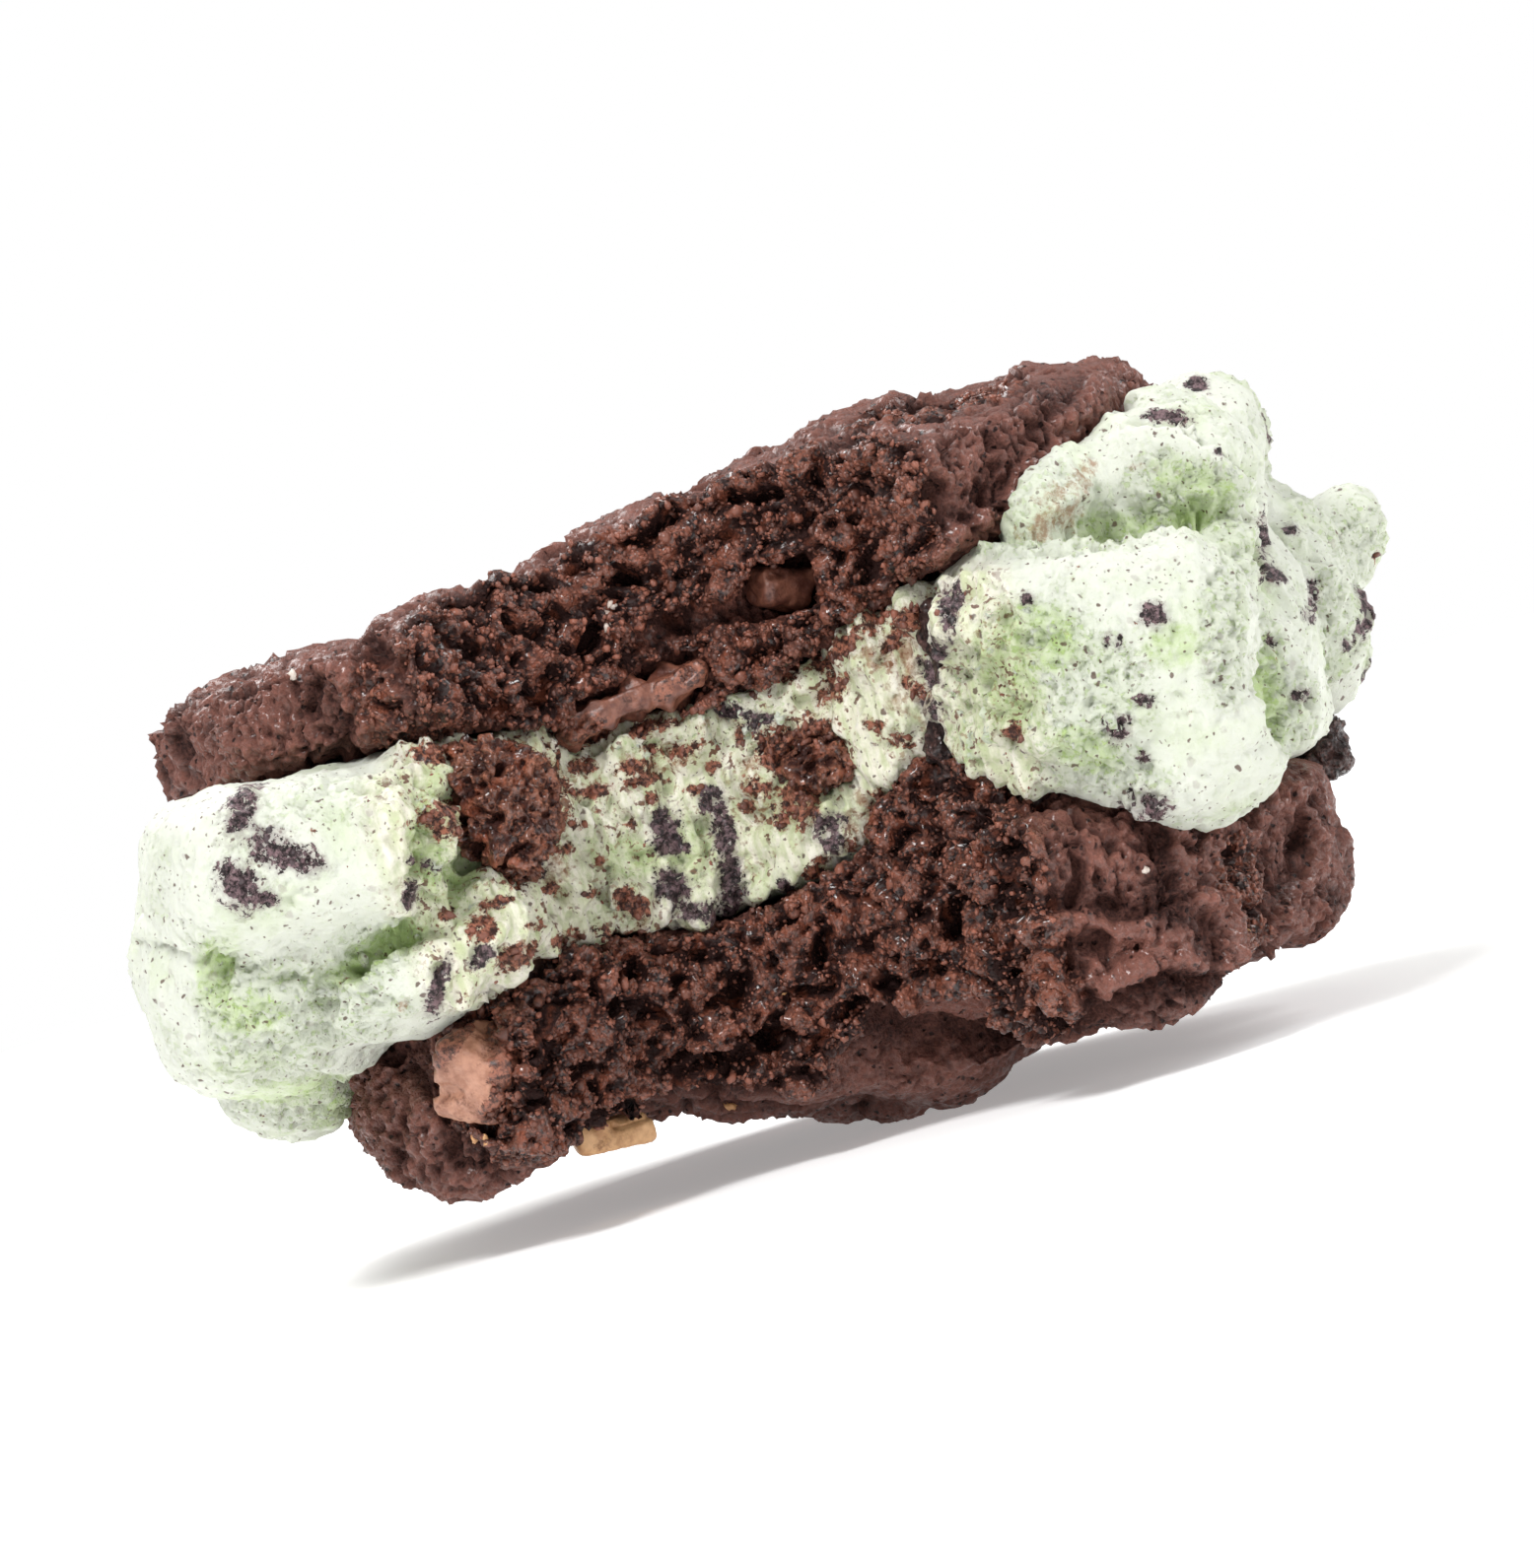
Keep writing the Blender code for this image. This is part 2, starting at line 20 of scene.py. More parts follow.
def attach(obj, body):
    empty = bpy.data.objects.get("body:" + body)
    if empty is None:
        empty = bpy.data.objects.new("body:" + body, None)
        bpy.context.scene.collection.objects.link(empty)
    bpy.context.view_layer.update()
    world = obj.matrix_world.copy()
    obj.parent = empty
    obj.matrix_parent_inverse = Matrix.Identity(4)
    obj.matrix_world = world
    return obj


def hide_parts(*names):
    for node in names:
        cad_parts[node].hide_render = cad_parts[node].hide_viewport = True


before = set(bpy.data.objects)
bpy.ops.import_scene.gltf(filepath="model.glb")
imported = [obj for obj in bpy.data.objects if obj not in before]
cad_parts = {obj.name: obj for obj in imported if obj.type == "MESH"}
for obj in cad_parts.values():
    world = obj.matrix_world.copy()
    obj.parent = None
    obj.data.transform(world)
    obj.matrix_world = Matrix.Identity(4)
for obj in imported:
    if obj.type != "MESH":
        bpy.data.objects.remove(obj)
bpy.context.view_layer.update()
MM = 0.001

# %% [markdown]
# The camera comes first, because the small pieces are placed by where they show in the picture. It looks
# level along +Y, and it is rolled, so that the sandwich rises to the right. The lens could be found by
# eye. It is worked out instead, from the distance and from how many pixels a millimetre takes on the plane
# through the middle of the sandwich, so that a pixel of the picture can be turned into a place.

# %% The camera
PHOTO_WIDTH, PHOTO_HEIGHT = 1556, 1591
PIXELS_PER_MM = 12
CAMERA_DISTANCE = 450
CAMERA_ROLL = math.radians(16)
PICTURE_CENTRE = Vector((-1.16, -0.56, 30.37))
PICTURE_RIGHT = Vector((math.cos(CAMERA_ROLL), 0, -math.sin(CAMERA_ROLL)))
PICTURE_UP = Vector((math.sin(CAMERA_ROLL), 0, math.cos(CAMERA_ROLL)))
TOWARDS_CAMERA = Vector((0, -1, 0))
EYE = PICTURE_CENTRE + TOWARDS_CAMERA * CAMERA_DISTANCE


def link(obj):
    bpy.context.scene.collection.objects.link(obj)
    return obj


lens = bpy.data.cameras.new("camera")
lens.sensor_width = 36
lens.lens = lens.sensor_width * CAMERA_DISTANCE * PIXELS_PER_MM / PHOTO_HEIGHT
camera = link(bpy.data.objects.new("camera", lens))
placed = Matrix((PICTURE_RIGHT, PICTURE_UP, TOWARDS_CAMERA)).transposed().to_4x4()
placed.translation = EYE * MM
camera.matrix_world = placed
bpy.context.scene.camera = camera
print("lens", round(lens.lens, 1), "mm")


def sight(px, py):
    """The direction from the eye through a pixel of the picture."""
    across = (px - PHOTO_WIDTH / 2) / PIXELS_PER_MM
    up = (PHOTO_HEIGHT / 2 - py) / PIXELS_PER_MM
    return (PICTURE_RIGHT * across + PICTURE_UP * up - TOWARDS_CAMERA * CAMERA_DISTANCE).normalized()


# %% [markdown]
# A food photographer's table: a pale surface, a white wall behind and four soft lights. The key light is
# high in front on the left, a weak fill comes from the right, and a third at the right side lifts the
# lumps there. Brown crust only reads as crust when something broad is reflected in it, so the fourth hangs
# behind and above. The wall is the world. A bright world alone would light everything from everywhere, so
# rays that look straight at it see it brighter than it shines: the ground is clean and the sandwich still
# has shadows.

# %% Lights and table
WALL_SHINES = 0.3
WALL_SEEN = 1.0
world = bpy.data.worlds.new("pale studio")
bpy.context.scene.world = world
world.use_nodes = True
background = world.node_tree.nodes["Background"]
background.inputs["Color"].default_value = (1, 1, 1, 1)
looked_at = world.node_tree.nodes.new("ShaderNodeLightPath")
strength = world.node_tree.nodes.new("ShaderNodeMapRange")
strength.inputs["To Min"].default_value = WALL_SHINES
strength.inputs["To Max"].default_value = WALL_SEEN
world.node_tree.links.new(looked_at.outputs["Is Camera Ray"], strength.inputs["Value"])
world.node_tree.links.new(strength.outputs["Result"], background.inputs["Strength"])
bpy.context.scene.view_settings.view_transform = "Standard"

LAMPS_AIM = Vector((0, 0, 0.03))


def soft_light(name, place, power, width):
    lamp = bpy.data.lights.new(name, "AREA")
    lamp.energy = power
    lamp.size = width
    lit = link(bpy.data.objects.new(name, lamp))
    lit.location = place
    lit.rotation_euler = (LAMPS_AIM - Vector(place)).to_track_quat("-Z", "Y").to_euler()


soft_light("key", (-0.18, -0.44, 0.5), 3.8, 0.2)
soft_light("fill", (0.50, -0.35, 0.20), 0.9, 0.40)
soft_light("rim", (-0.20, 0.25, 0.50), 2.6, 0.30)
soft_light("side", (0.42, 0.10, 0.36), 1.3, 0.25)

TABLE_WIDTH = 6
bm = bmesh.new()
bmesh.ops.create_grid(bm, x_segments=1, y_segments=1, size=TABLE_WIDTH / 2)
table_mesh = bpy.data.meshes.new("table")
bm.to_mesh(table_mesh)
bm.free()
table = link(bpy.data.objects.new("table", table_mesh))
print(len(bpy.data.lights), "soft lights over a table")

# %% [markdown]
# Shader maths reads best as plain expressions. The class Wire wraps a socket, so that a sum or a product
# of wires adds the Math node for it. The class Finish is one material under construction: it hands out
# noises, cells, ramps and colour mixes, all measured in millimetres on the object.


# %% A small language for finishes
class Wire:
    """A number that runs through a material's nodes."""

    def __init__(self, finish, socket):
        self.finish = finish
        self.socket = socket

    def math(self, operation, *others):
        return self.finish.math(operation, self, *others)

    def __add__(self, other):
        return self.math("ADD", other)

    def __radd__(self, other):
        return self.math("ADD", other)

    def __sub__(self, other):
        return self.math("SUBTRACT", other)

    def __rsub__(self, other):
        return self.finish.math("SUBTRACT", other, self)

    def __mul__(self, other):
        return self.math("MULTIPLY", other)

    def __rmul__(self, other):
        return self.math("MULTIPLY", other)

    def clamped(self):
        made = self.math("ADD", 0)
        made.socket.node.use_clamp = True
        return made

    def between(self, low, high):
        """0 below low, 1 above high, and a smooth step between them; low may be the larger one."""
        made = self.finish.node(
            "ShaderNodeMapRange",
            {"interpolation_type": "SMOOTHSTEP", "clamp": True},
            {"Value": self, "From Min": low, "From Max": high},
        )
        return Wire(self.finish, made.outputs["Result"])


class Finish:
    """A material built round one Principled shader. Fixed sockets are set by name when it is made."""

    def __init__(self, name, fixed):
        self.material = bpy.data.materials.new(name)
        self.material.use_nodes = True
        self.tree = self.material.node_tree
        self.shader = self.tree.nodes["Principled BSDF"]
        for socket, value in fixed.items():
            self.shader.inputs[socket].default_value = value
        coordinates = self.node("ShaderNodeTexCoord", {}, {})
        self.place = self.stretched((1, 1, 1), coordinates.outputs["Object"])

    def node(self, kind, settings, sockets):
        made = self.tree.nodes.new(kind)
        for name, value in settings.items():
            setattr(made, name, value)
        for key, value in sockets.items():
            self.feed(made.inputs[key], value)
        return made

    def feed(self, socket, value):
        if isinstance(value, Wire):
            self.tree.links.new(value.socket, socket)
        elif isinstance(value, bpy.types.NodeSocket):
            self.tree.links.new(value, socket)
        elif socket.type == "RGBA":
            socket.default_value = (*value, 1) if len(value) == 3 else value
        else:
            socket.default_value = value

    def math(self, operation, *values):
        made = self.node("ShaderNodeMath", {"operation": operation}, dict(enumerate(values)))
        return Wire(self, made.outputs[0])

    def stretched(self, squeeze, source=None):
        """The place on the object in millimetres, squeezed along each axis."""
        scale = [1 / MM * s for s in squeeze] if source else list(squeeze)
        made = self.node(
            "ShaderNodeVectorMath", {"operation": "MULTIPLY"}, {0: source or self.place, 1: scale}
        )
        return made.outputs["Vector"]

    def moved(self, place, offset, amount):
        """A place pushed about by a colour or vector, by amount millimetres."""
        push = self.node("ShaderNodeVectorMath", {"operation": "SCALE"}, {0: offset, "Scale": amount})
        sockets = {0: place, 1: push.outputs["Vector"]}
        return self.node("ShaderNodeVectorMath", {"operation": "ADD"}, sockets).outputs["Vector"]

    def noise(self, size, detail=3, rough=0.5, place=None):
        made = self.node(
            "ShaderNodeTexNoise",
            {},
            {"Vector": place or self.place, "Scale": 1 / size, "Detail": detail, "Roughness": rough},
        )
        return Wire(self, made.outputs["Fac"])

    def noise_colour(self, size):
        sockets = {"Vector": self.place, "Scale": 1 / size, "Detail": 2}
        return self.node("ShaderNodeTexNoise", {}, sockets).outputs["Color"]

    def cells(self, size, place):
        return self.node("ShaderNodeTexVoronoi", {}, {"Vector": place, "Scale": 1 / size})

    def distance(self, size, place):
        return Wire(self, self.cells(size, place).outputs["Distance"])

    def attribute(self, name):
        made = self.node("ShaderNodeAttribute", {"attribute_name": name}, {})
        return Wire(self, made.outputs["Fac"])

    def mix(self, factor, first, second):
        """A mix of two colours, each a triple or a socket."""
        made = self.node("ShaderNodeMix", {"data_type": "RGBA"}, {0: factor, 6: first, 7: second})
        return made.outputs[2]

    def bump(self, height, strength, depth):
        """A bumpy normal; depth is in millimetres."""
        sockets = {"Height": height, "Strength": strength, "Distance": depth * MM}
        return self.node("ShaderNodeBump", {}, sockets).outputs["Normal"]

    def set(self, **sockets):
        for name, value in sockets.items():
            self.feed(self.shader.inputs[name.replace("_", " ")], value)
        return self.material


def tone(red, green, blue):
    """A colour as a screen shows it, 0 to 255, turned into the linear values that shaders use."""
    shares = [value / 255 for value in (red, green, blue)]
    return tuple(share / 12.92 if share <= 0.04 else ((share + 0.055) / 1.055) ** 2.4 for share in shares)


# %% [markdown]
# A plain table would meet the wall in a grey line. This one also glows, faintly round the sandwich, where
# the shadow has to show, and more further out, so that it runs into the wall without a horizon.

# %% The table's finish
GLOW_STARTS = 150
GLOW_FULL = 900
FAINT_GLOW = (0.3, 0.3, 0.3)
FULL_GLOW = (0.75, 0.75, 0.75)
table_finish = Finish("pale table", {"Roughness": 0.9, "Emission Strength": 1.0})
from_middle = table_finish.node("ShaderNodeVectorMath", {"operation": "LENGTH"}, {0: table_finish.place})
far = Wire(table_finish, from_middle.outputs["Value"]).between(GLOW_STARTS, GLOW_FULL)
glow = table_finish.mix(far, FAINT_GLOW, FULL_GLOW)
table_mesh.materials.append(table_finish.set(Base_Color=tone(246, 246, 246), Emission_Color=glow))

# %% [markdown]
# Each solid is coarse, with facets a few millimetres wide. A bump map alone would leave its outline in
# facets, so it gets a fine skin: a merged copy of it is remeshed into small even squares and smoothed
# until no facet is left. Where the eye goes, in front, the squares are split once more. Where one layer
# lies on the next and nothing shows, they are thinned out.


# %% Making a fine skin from a solid
def smooth_step(low, high, value):
    t = min(max((value - low) / (high - low), 0), 1)
    return t * t * (3 - 2 * t)


def merged_copy(node, name):
    """A new object from a solid's loose triangles, joined where they meet."""
    bm = bmesh.new()
    bm.from_mesh(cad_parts[node].data)
    bmesh.ops.remove_doubles(bm, verts=bm.verts, dist=0.01 * MM)
    mesh = bpy.data.meshes.new(name)
    bm.to_mesh(mesh)
    bm.free()
    return link(bpy.data.objects.new(name, mesh))


def apply_modifiers(obj):
    bpy.context.view_layer.update()
    graph = bpy.context.evaluated_depsgraph_get()
    mesh = bpy.data.meshes.new_from_object(obj.evaluated_get(graph))
    old = obj.data
    obj.modifiers.clear()
    obj.data = mesh
    bpy.data.meshes.remove(old)
    obj.data.name = obj.name


def even_squares(obj, size):
    modifier = obj.modifiers.new("Even squares", "REMESH")
    modifier.mode = "VOXEL"
    modifier.voxel_size = size * MM
    apply_modifiers(obj)


def smooth(obj, times):
    modifier = obj.modifiers.new("Smooth", "SMOOTH")
    modifier.factor = 0.5
    modifier.iterations = times
    apply_modifiers(obj)


def thin_out(obj, hidden, ratio):
    """Merges faces where hidden(point, normal) is true, down to that ratio of them."""
    group = obj.vertex_groups.new(name="hidden")
    chosen = [v.index for v in obj.data.vertices if hidden(v.co / MM, v.normal)]
    group.add(chosen, 1.0, "REPLACE")
    share = len(chosen) / len(obj.data.vertices)
    modifier = obj.modifiers.new("Thin out", "DECIMATE")
    modifier.ratio = 1 - share * (1 - ratio)
    modifier.vertex_group = "hidden"
    modifier.vertex_group_factor = 1
    apply_modifiers(obj)
    obj.vertex_groups.clear()


def split_faces(obj, wanted):
    """Splits every face for which wanted(point, normal) is true into four."""
    bm = bmesh.new()
    bm.from_mesh(obj.data)
    faces = [face for face in bm.faces if wanted(face.calc_center_median() / MM, face.normal)]
    edges = {edge for face in faces for edge in face.edges}
    bmesh.ops.subdivide_edges(bm, edges=list(edges), cuts=1, use_grid_fill=True, smooth=0.0)
    bmesh.ops.triangulate(bm, faces=[face for face in bm.faces if len(face.verts) > 4])
    bm.to_mesh(obj.data)
    bm.free()


def rows_of(items, name):
    """One vector of every item of a mesh, one row each."""
    flat = np.empty(len(items) * 3, np.float32)
    items.foreach_get(name, flat)
    return flat.reshape(-1, 3)


def places_of(obj):
    """Every point of a mesh in millimetres."""
    return rows_of(obj.data.vertices, "co") / MM


def normals_of(obj):
    return rows_of(obj.data.vertex_normals, "vector")


# %% [markdown]
# Relief could be a Displace modifier with a texture, but then the finish wouldn't know how high a point
# lies. Here each point is pushed out along its normal by a height that Python works out, and the height is
# kept on the point as an attribute, so that hollows can be painted darker, as painted shade, and ridges
# shinier.


# %% Relief, and values kept on the points
def store(mesh, name, values):
    layer = mesh.attributes.new(name, "FLOAT", "POINT")
    layer.data.foreach_set("value", np.asarray(values, np.float32))


def relieve(obj, height_at, added=0):
    """Pushes points out by height_at(point, normal) plus what is added, and keeps the heights."""
    mesh = obj.data
    places = rows_of(mesh.vertices, "co")
    normals = normals_of(obj)
    points = zip((places / MM).tolist(), normals.tolist())
    heights = np.array([height_at(Vector(place), Vector(normal)) for place, normal in points], np.float32)
    heights += added
    places += normals * heights[:, None] * MM
    mesh.vertices.foreach_set("co", places.ravel())
    mesh.update()
    store(mesh, "relief", heights)


def mark(obj, name, value_at):
    """Keeps value_at(point, normal) on every point under a name."""
    store(obj.data, name, [value_at(v.co / MM, v.normal) for v in obj.data.vertices])


# %% [markdown]
# Four kinds of unevenness make all the surfaces: a soft wave, a wobble that bends a pattern, cells that
# bulge like crumbs pressed together, and a cleft where cells meet.


# %% Patterns for relief
def wave(point, size):
    return noise.noise(point / size)


def bent(point, size, amount):
    at = point / size
    push = Vector(noise.noise(at + Vector(offset)) for offset in ((9.3, 0, 0), (0, 17.1, 0), (0, 0, 31.7)))
    return point + push * amount


def bulge(point, size):
    """1 in the middle of a cell, falling to about 0 at its edge."""
    return 1 - noise.voronoi(point / size)[0][0] * 1.25


def cleft(point, size, width):
    """1 on the line between two cells, 0 away from it."""
    near = noise.voronoi(point / size)[0]
    return 1 - smooth_step(0, width, near[1] - near[0])


def squeezed(point, x, y, z):
    return Vector((point.x * x, point.y * y, point.z * z))


# %% [markdown]
# A patch is an oval area on a skin, a few millimetres long and wide. On the front it is placed by a pixel:
# the line from the eye through it is followed until it meets the skin, and a lean in degrees turns the
# patch against the level of the picture. That puts each dark bit where it was seen, which no texture
# could. On the sides and back, which no picture shows, patches are dealt out at random.


# %% Finding places by where they show
def skin_tree(obj):
    bm = bmesh.new()
    bm.from_mesh(obj.data)
    tree = BVHTree.FromBMesh(bm)
    bm.free()
    return tree


def nearest_hit(trees, start, direction, reach=math.inf):
    """The place in millimetres and the normal of the first thing that a ray meets, or None twice."""
    nearest = (None, None)
    for tree in trees:
        hit, normal, _, away = tree.ray_cast(start * MM, direction)
        if hit and away < reach:
            reach = away
            nearest = (hit / MM, normal)
    return nearest


def seen_at(trees, px, py):
    """The place in millimetres of what shows at a pixel, or None."""
    return nearest_hit(trees, EYE, sight(px, py))[0]


PATCH_DEPTH = 5
FULL_COVER = 0.6
LANDING_HEIGHT = 5


class Patch:
    """An oval area on a skin: its middle, the directions of its length and width, and its size."""

    def __init__(self, centre, level, upright, length, width, lean):
        turn = math.radians(lean)
        self.centre, self.length, self.width = centre, length, width
        self.along = level * math.cos(turn) + upright * math.sin(turn)
        self.across = upright * math.cos(turn) - level * math.sin(turn)
        self.outward = level.cross(upright)

    def cover(self, places, spread):
        """How much this patch covers each place, 1 inside and 0 beyond spread times its size."""
        away = places - np.array(self.centre)
        u = away @ np.array(self.along) / (self.length / 2)
        v = away @ np.array(self.across) / (self.width / 2)
        w = away @ np.array(self.outward) / PATCH_DEPTH
        reach = np.sqrt(u * u + v * v + w * w)
        return np.clip((spread - reach) / (spread - FULL_COVER), 0, 1)

    def land(self, trees, u, v):
        """The place and normal on a skin, at u half lengths and v half widths from the middle."""
        start = self.centre + self.along * u * self.length / 2 + self.across * v * self.width / 2
        start += self.outward * LANDING_HEIGHT
        return nearest_hit(trees, start, -self.outward, 2 * LANDING_HEIGHT * MM)


def patches(trees, rows):
    """Patches on the front, each given as a pixel, a length, a width and a lean."""
    made = []
    for px, py, length, width, lean in rows:
        centre = seen_at(trees, px, py)
        if centre:
            made.append(Patch(centre, PICTURE_RIGHT, PICTURE_UP, length, width, lean))
    return made


FRONT_ENDS = -8
SIDES_START = 36


def patches_behind(obj, seed, count, low, high):
    """Patches dealt out over the sides and back of a skin, low to high millimetres long."""
    rng = random.Random(seed)
    verts = obj.data.vertices
    made = []
    while len(made) < count:
        vert = verts[rng.randrange(len(verts))]
        place = vert.co / MM
        behind = place.y > FRONT_ENDS and math.hypot(place.x, place.y) > SIDES_START
        free = all((place - other.centre).length > 1.2 * high for other in made)
        if behind and abs(vert.normal.z) < 0.6 and free:
            outward = Vector((vert.normal.x, vert.normal.y, 0)).normalized()
            level = Vector((0, 0, 1)).cross(outward)
            length = low + (high - low) * rng.random() ** 2
            width = length * rng.uniform(0.4, 0.9)
            made.append(Patch(place, level, Vector((0, 0, 1)), length, width, rng.uniform(-90, 90)))
    return made


def covered_by(places, some, spread):
    """How much any of some patches covers each place."""
    cover = np.zeros(len(places))
    for patch in some:
        cover = np.maximum(cover, patch.cover(places, spread))
    return cover


# %% [markdown]
# A torn lump ends in a ledge: its edge stands up, and what lies beside it drops. Noise alone would put
# such edges anywhere. A ledge here follows a line of pixels, the raised side is on the left of someone who
# walks along it, and noise only frays its edge.


# %% Ledges along lines
def in_picture(places):
    """The pixels at which places show, and how far they are from the eye."""
    away = places - np.array(EYE)
    depth = -(away @ np.array(TOWARDS_CAMERA))
    scale = PIXELS_PER_MM * CAMERA_DISTANCE / depth
    px = PHOTO_WIDTH / 2 + away @ np.array(PICTURE_RIGHT) * scale
    py = PHOTO_HEIGHT / 2 - away @ np.array(PICTURE_UP) * scale
    return px, py, depth


def facing_front(obj):
    return normals_of(obj)[:, 1] < 0.3


LEDGE_REACH = 2.4
LEDGE_DEPTH = 9
LEDGE_RISES = 0.3
LEDGE_DROPS = 0.75


def ledges(obj, lines):
    """Heights in millimetres of all ledges on an object, each given as a rise and its corners' pixels."""
    places = places_of(obj)
    facing = facing_front(obj)
    px, py, depth = in_picture(places)
    tree = skin_tree(obj)
    total = np.zeros(len(places))
    for rise, *corners in lines:
        nearest = np.full(len(places), np.inf)
        side = np.zeros(len(places))
        for (ax, ay), (bx, by) in zip(corners, corners[1:]):
            seen = seen_at([tree], (ax + bx) / 2, (ay + by) / 2)
            if seen is None:
                continue
            dx, dy = bx - ax, by - ay
            length = math.hypot(dx, dy)
            t = np.clip(((px - ax) * dx + (py - ay) * dy) / length**2, 0, 1)
            away = np.hypot(px - ax - t * dx, py - ay - t * dy) / PIXELS_PER_MM
            left = ((px - ax) * dy - (py - ay) * dx) / length / PIXELS_PER_MM
            at_depth = np.abs(depth - (seen.y - EYE.y)) < LEDGE_DEPTH
            closer = facing & at_depth & (away < nearest)
            nearest[closer] = away[closer]
            side[closer] = left[closer]
        for index in np.flatnonzero(nearest < 1.6 * LEDGE_REACH).tolist():
            point = Vector(places[index].tolist())
            frayed = side[index] + 0.7 * wave(point, 1.4) + 0.35 * wave(point, 0.6)
            fade = math.exp(-((nearest[index] / LEDGE_REACH) ** 2))
            step = math.tanh(frayed / 0.3) * fade
            total[index] += rise * step * (LEDGE_RISES if step * rise > 0 else LEDGE_DROPS)
    return total


# %% [markdown]
# ## The cookies
#
# Bitten crumb is a heap of damp grains: clumps with clefts between them, grains on the clumps, and dark
# holes that follow the layers of the dough. The baked outside is a thin skin that wrinkled and cracked as
# the cookie rose, and its steep rim is a net of ridges and slots where steam came out. One noise for both
# would look like felt, so each has a height of its own, and they blend where the bite and the torn spots
# end.

# %% Where the sandwich was bitten
BITE_Y = -47.56
TOP_BITE = dict(x=-4.16, radius=21.5)
BOTTOM_BITE = dict(x=-6.16, radius=22.5)
ICE_BITE = dict(x=-5.16, radius=23.5)
CUP_DEPTH = 2.0


def bitten(point, bite, margin=2.0):
    away = math.hypot(point.x - bite["x"], point.y - BITE_Y)
    reach = bite["radius"] + margin
    return 1 - smooth_step(reach - CUP_DEPTH, reach + CUP_DEPTH, away)


# %% Relief of crumb, rim and baked face
def crumb_height(point):
    """Relief of bitten crumb."""
    at = bent(point, 3, 0.9)
    layered = squeezed(at, 0.9, 0.9, 1.1)
    clumps = 0.8 * bulge(at, 4.0) - 0.5 * cleft(at, 4.0, 0.15)
    grains = 0.55 * bulge(at, 1.35) + 0.35 * bulge(point, 0.7)
    holes = -2.2 * smooth_step(0.1, 0.5, wave(layered, 2.2))
    holes -= 1.0 * smooth_step(0.05, 0.5, wave(point, 1.0))
    return clumps + grains + holes - 0.4


def rim_height(point):
    """Relief of the steep rim: narrow upright ridges with pits between them."""
    at = squeezed(bent(point, 2.0, 0.9), 1, 1, 0.6)
    ridges = 0.25 * bulge(at, 0.9) - 0.2 * cleft(at, 1.2, 0.25)
    grains = 0.35 * bulge(bent(point, 1, 0.3), 0.75)
    pits = -0.6 * smooth_step(0.06, 0.3, wave(at, 0.8)) - 0.8 * smooth_step(0.1, 0.35, wave(at, 2.1))
    return ridges + grains + pits + 0.4 * wave(point, 4) - 0.05


def face_height(point):
    """Relief of the domed face: soft swells, wrinkles and a few cracks."""
    at = bent(point, 5, 1.6)
    cracked = smooth_step(-0.2, 0.2, wave(point, 9))
    cracks = -1.0 * cleft(at, 12, 0.06) - 0.6 * cleft(at, 5.5, 0.07) * cracked
    wrinkles = 0.42 * wave(squeezed(at, 0.4, 1, 1), 1.1) + 0.16 * wave(point, 0.6)
    porous = smooth_step(-0.2, 0.3, wave(point, 6))
    pores = -0.5 * smooth_step(0.1, 0.4, wave(bent(point, 1, 0.3), 0.8)) * porous
    return cracks + wrinkles + pores + 0.4 * wave(point, 3)


# %% [markdown]
# One function makes the skin of either cookie. The torn parts could be meshes of their own, but then each
# would need a seam. So there is one mesh, and a value on its points says how torn each is: 1 in the bite,
# 0 on the baked crust.

# %% The skin of one cookie
COOKIE_SQUARES = 0.55
HIDDEN_RATIO = 0.06


def nearness(point, spots):
    """1 at the middle of the nearest of some spots, each a place and a radius, and 0 outside them all."""
    best = 0
    for place, radius in spots:
        away = (point - place).length_squared
        if away < radius * radius:
            best = max(best, 1 - math.sqrt(away) / radius)
    return best


def triangle_count(obj):
    obj.data.calc_loop_triangles()
    return len(obj.data.loop_triangles)


def cookie_skin(node, bite, torn_spots, smooth_spots, lines, side):
    """The fine skin of one cookie; side is 1 for the upper and -1 for the lower one."""
    cookie = merged_copy(node, node + "_skin")
    even_squares(cookie, COOKIE_SQUARES)
    smooth(cookie, 8)

    def covered(point, normal):
        facing = normal.z * side < -0.6
        return facing and bitten(point, bite, 4) < 0.5 and math.hypot(point.x, point.y) < 40

    def in_front(point, normal):
        return point.y < -16 and not covered(point, normal) and normal.y < 0.25 and normal.z * side < 0.9

    thin_out(cookie, covered, HIDDEN_RATIO)
    split_faces(cookie, in_front)
    smooth(cookie, 1)

    def torn_at(point):
        spots = nearness(point, torn_spots)
        return max(bitten(point, bite), smooth_step(0, 0.3, spots + 0.15 * wave(point, 2)) if spots else 0)

    def height(point, normal):
        torn = torn_at(point)
        steep = 1 - smooth_step(0.5, 0.85, abs(normal.z))
        calm = 1 - 0.7 * smooth_step(0, 0.5, nearness(point, smooth_spots))
        made = torn * crumb_height(point) if torn > 0 else 0
        if torn < 1:
            crust = steep * rim_height(point) if steep > 0 else 0
            crust += (1 - steep) * face_height(point) if steep < 1 else 0
            made += (1 - torn) * (crust * calm + 0.12 * wave(point, 0.45))
            made -= (1 - torn) * 0.3 * smooth_step(0.1, 0.35, wave(bent(point, 1, 0.4), 0.7))
        return made

    mark(cookie, "torn", lambda point, normal: torn_at(point))
    relieve(cookie, height, added=ledges(cookie, lines))
    print(cookie.name, triangle_count(cookie), "triangles")
    return cookie


# %% [markdown]
# The two cookies differ only in where they are torn, where they are calm and where their lumps end, so
# those are lists: spots as a place and a radius in millimetres, and ledges as a rise and the pixels they
# pass.

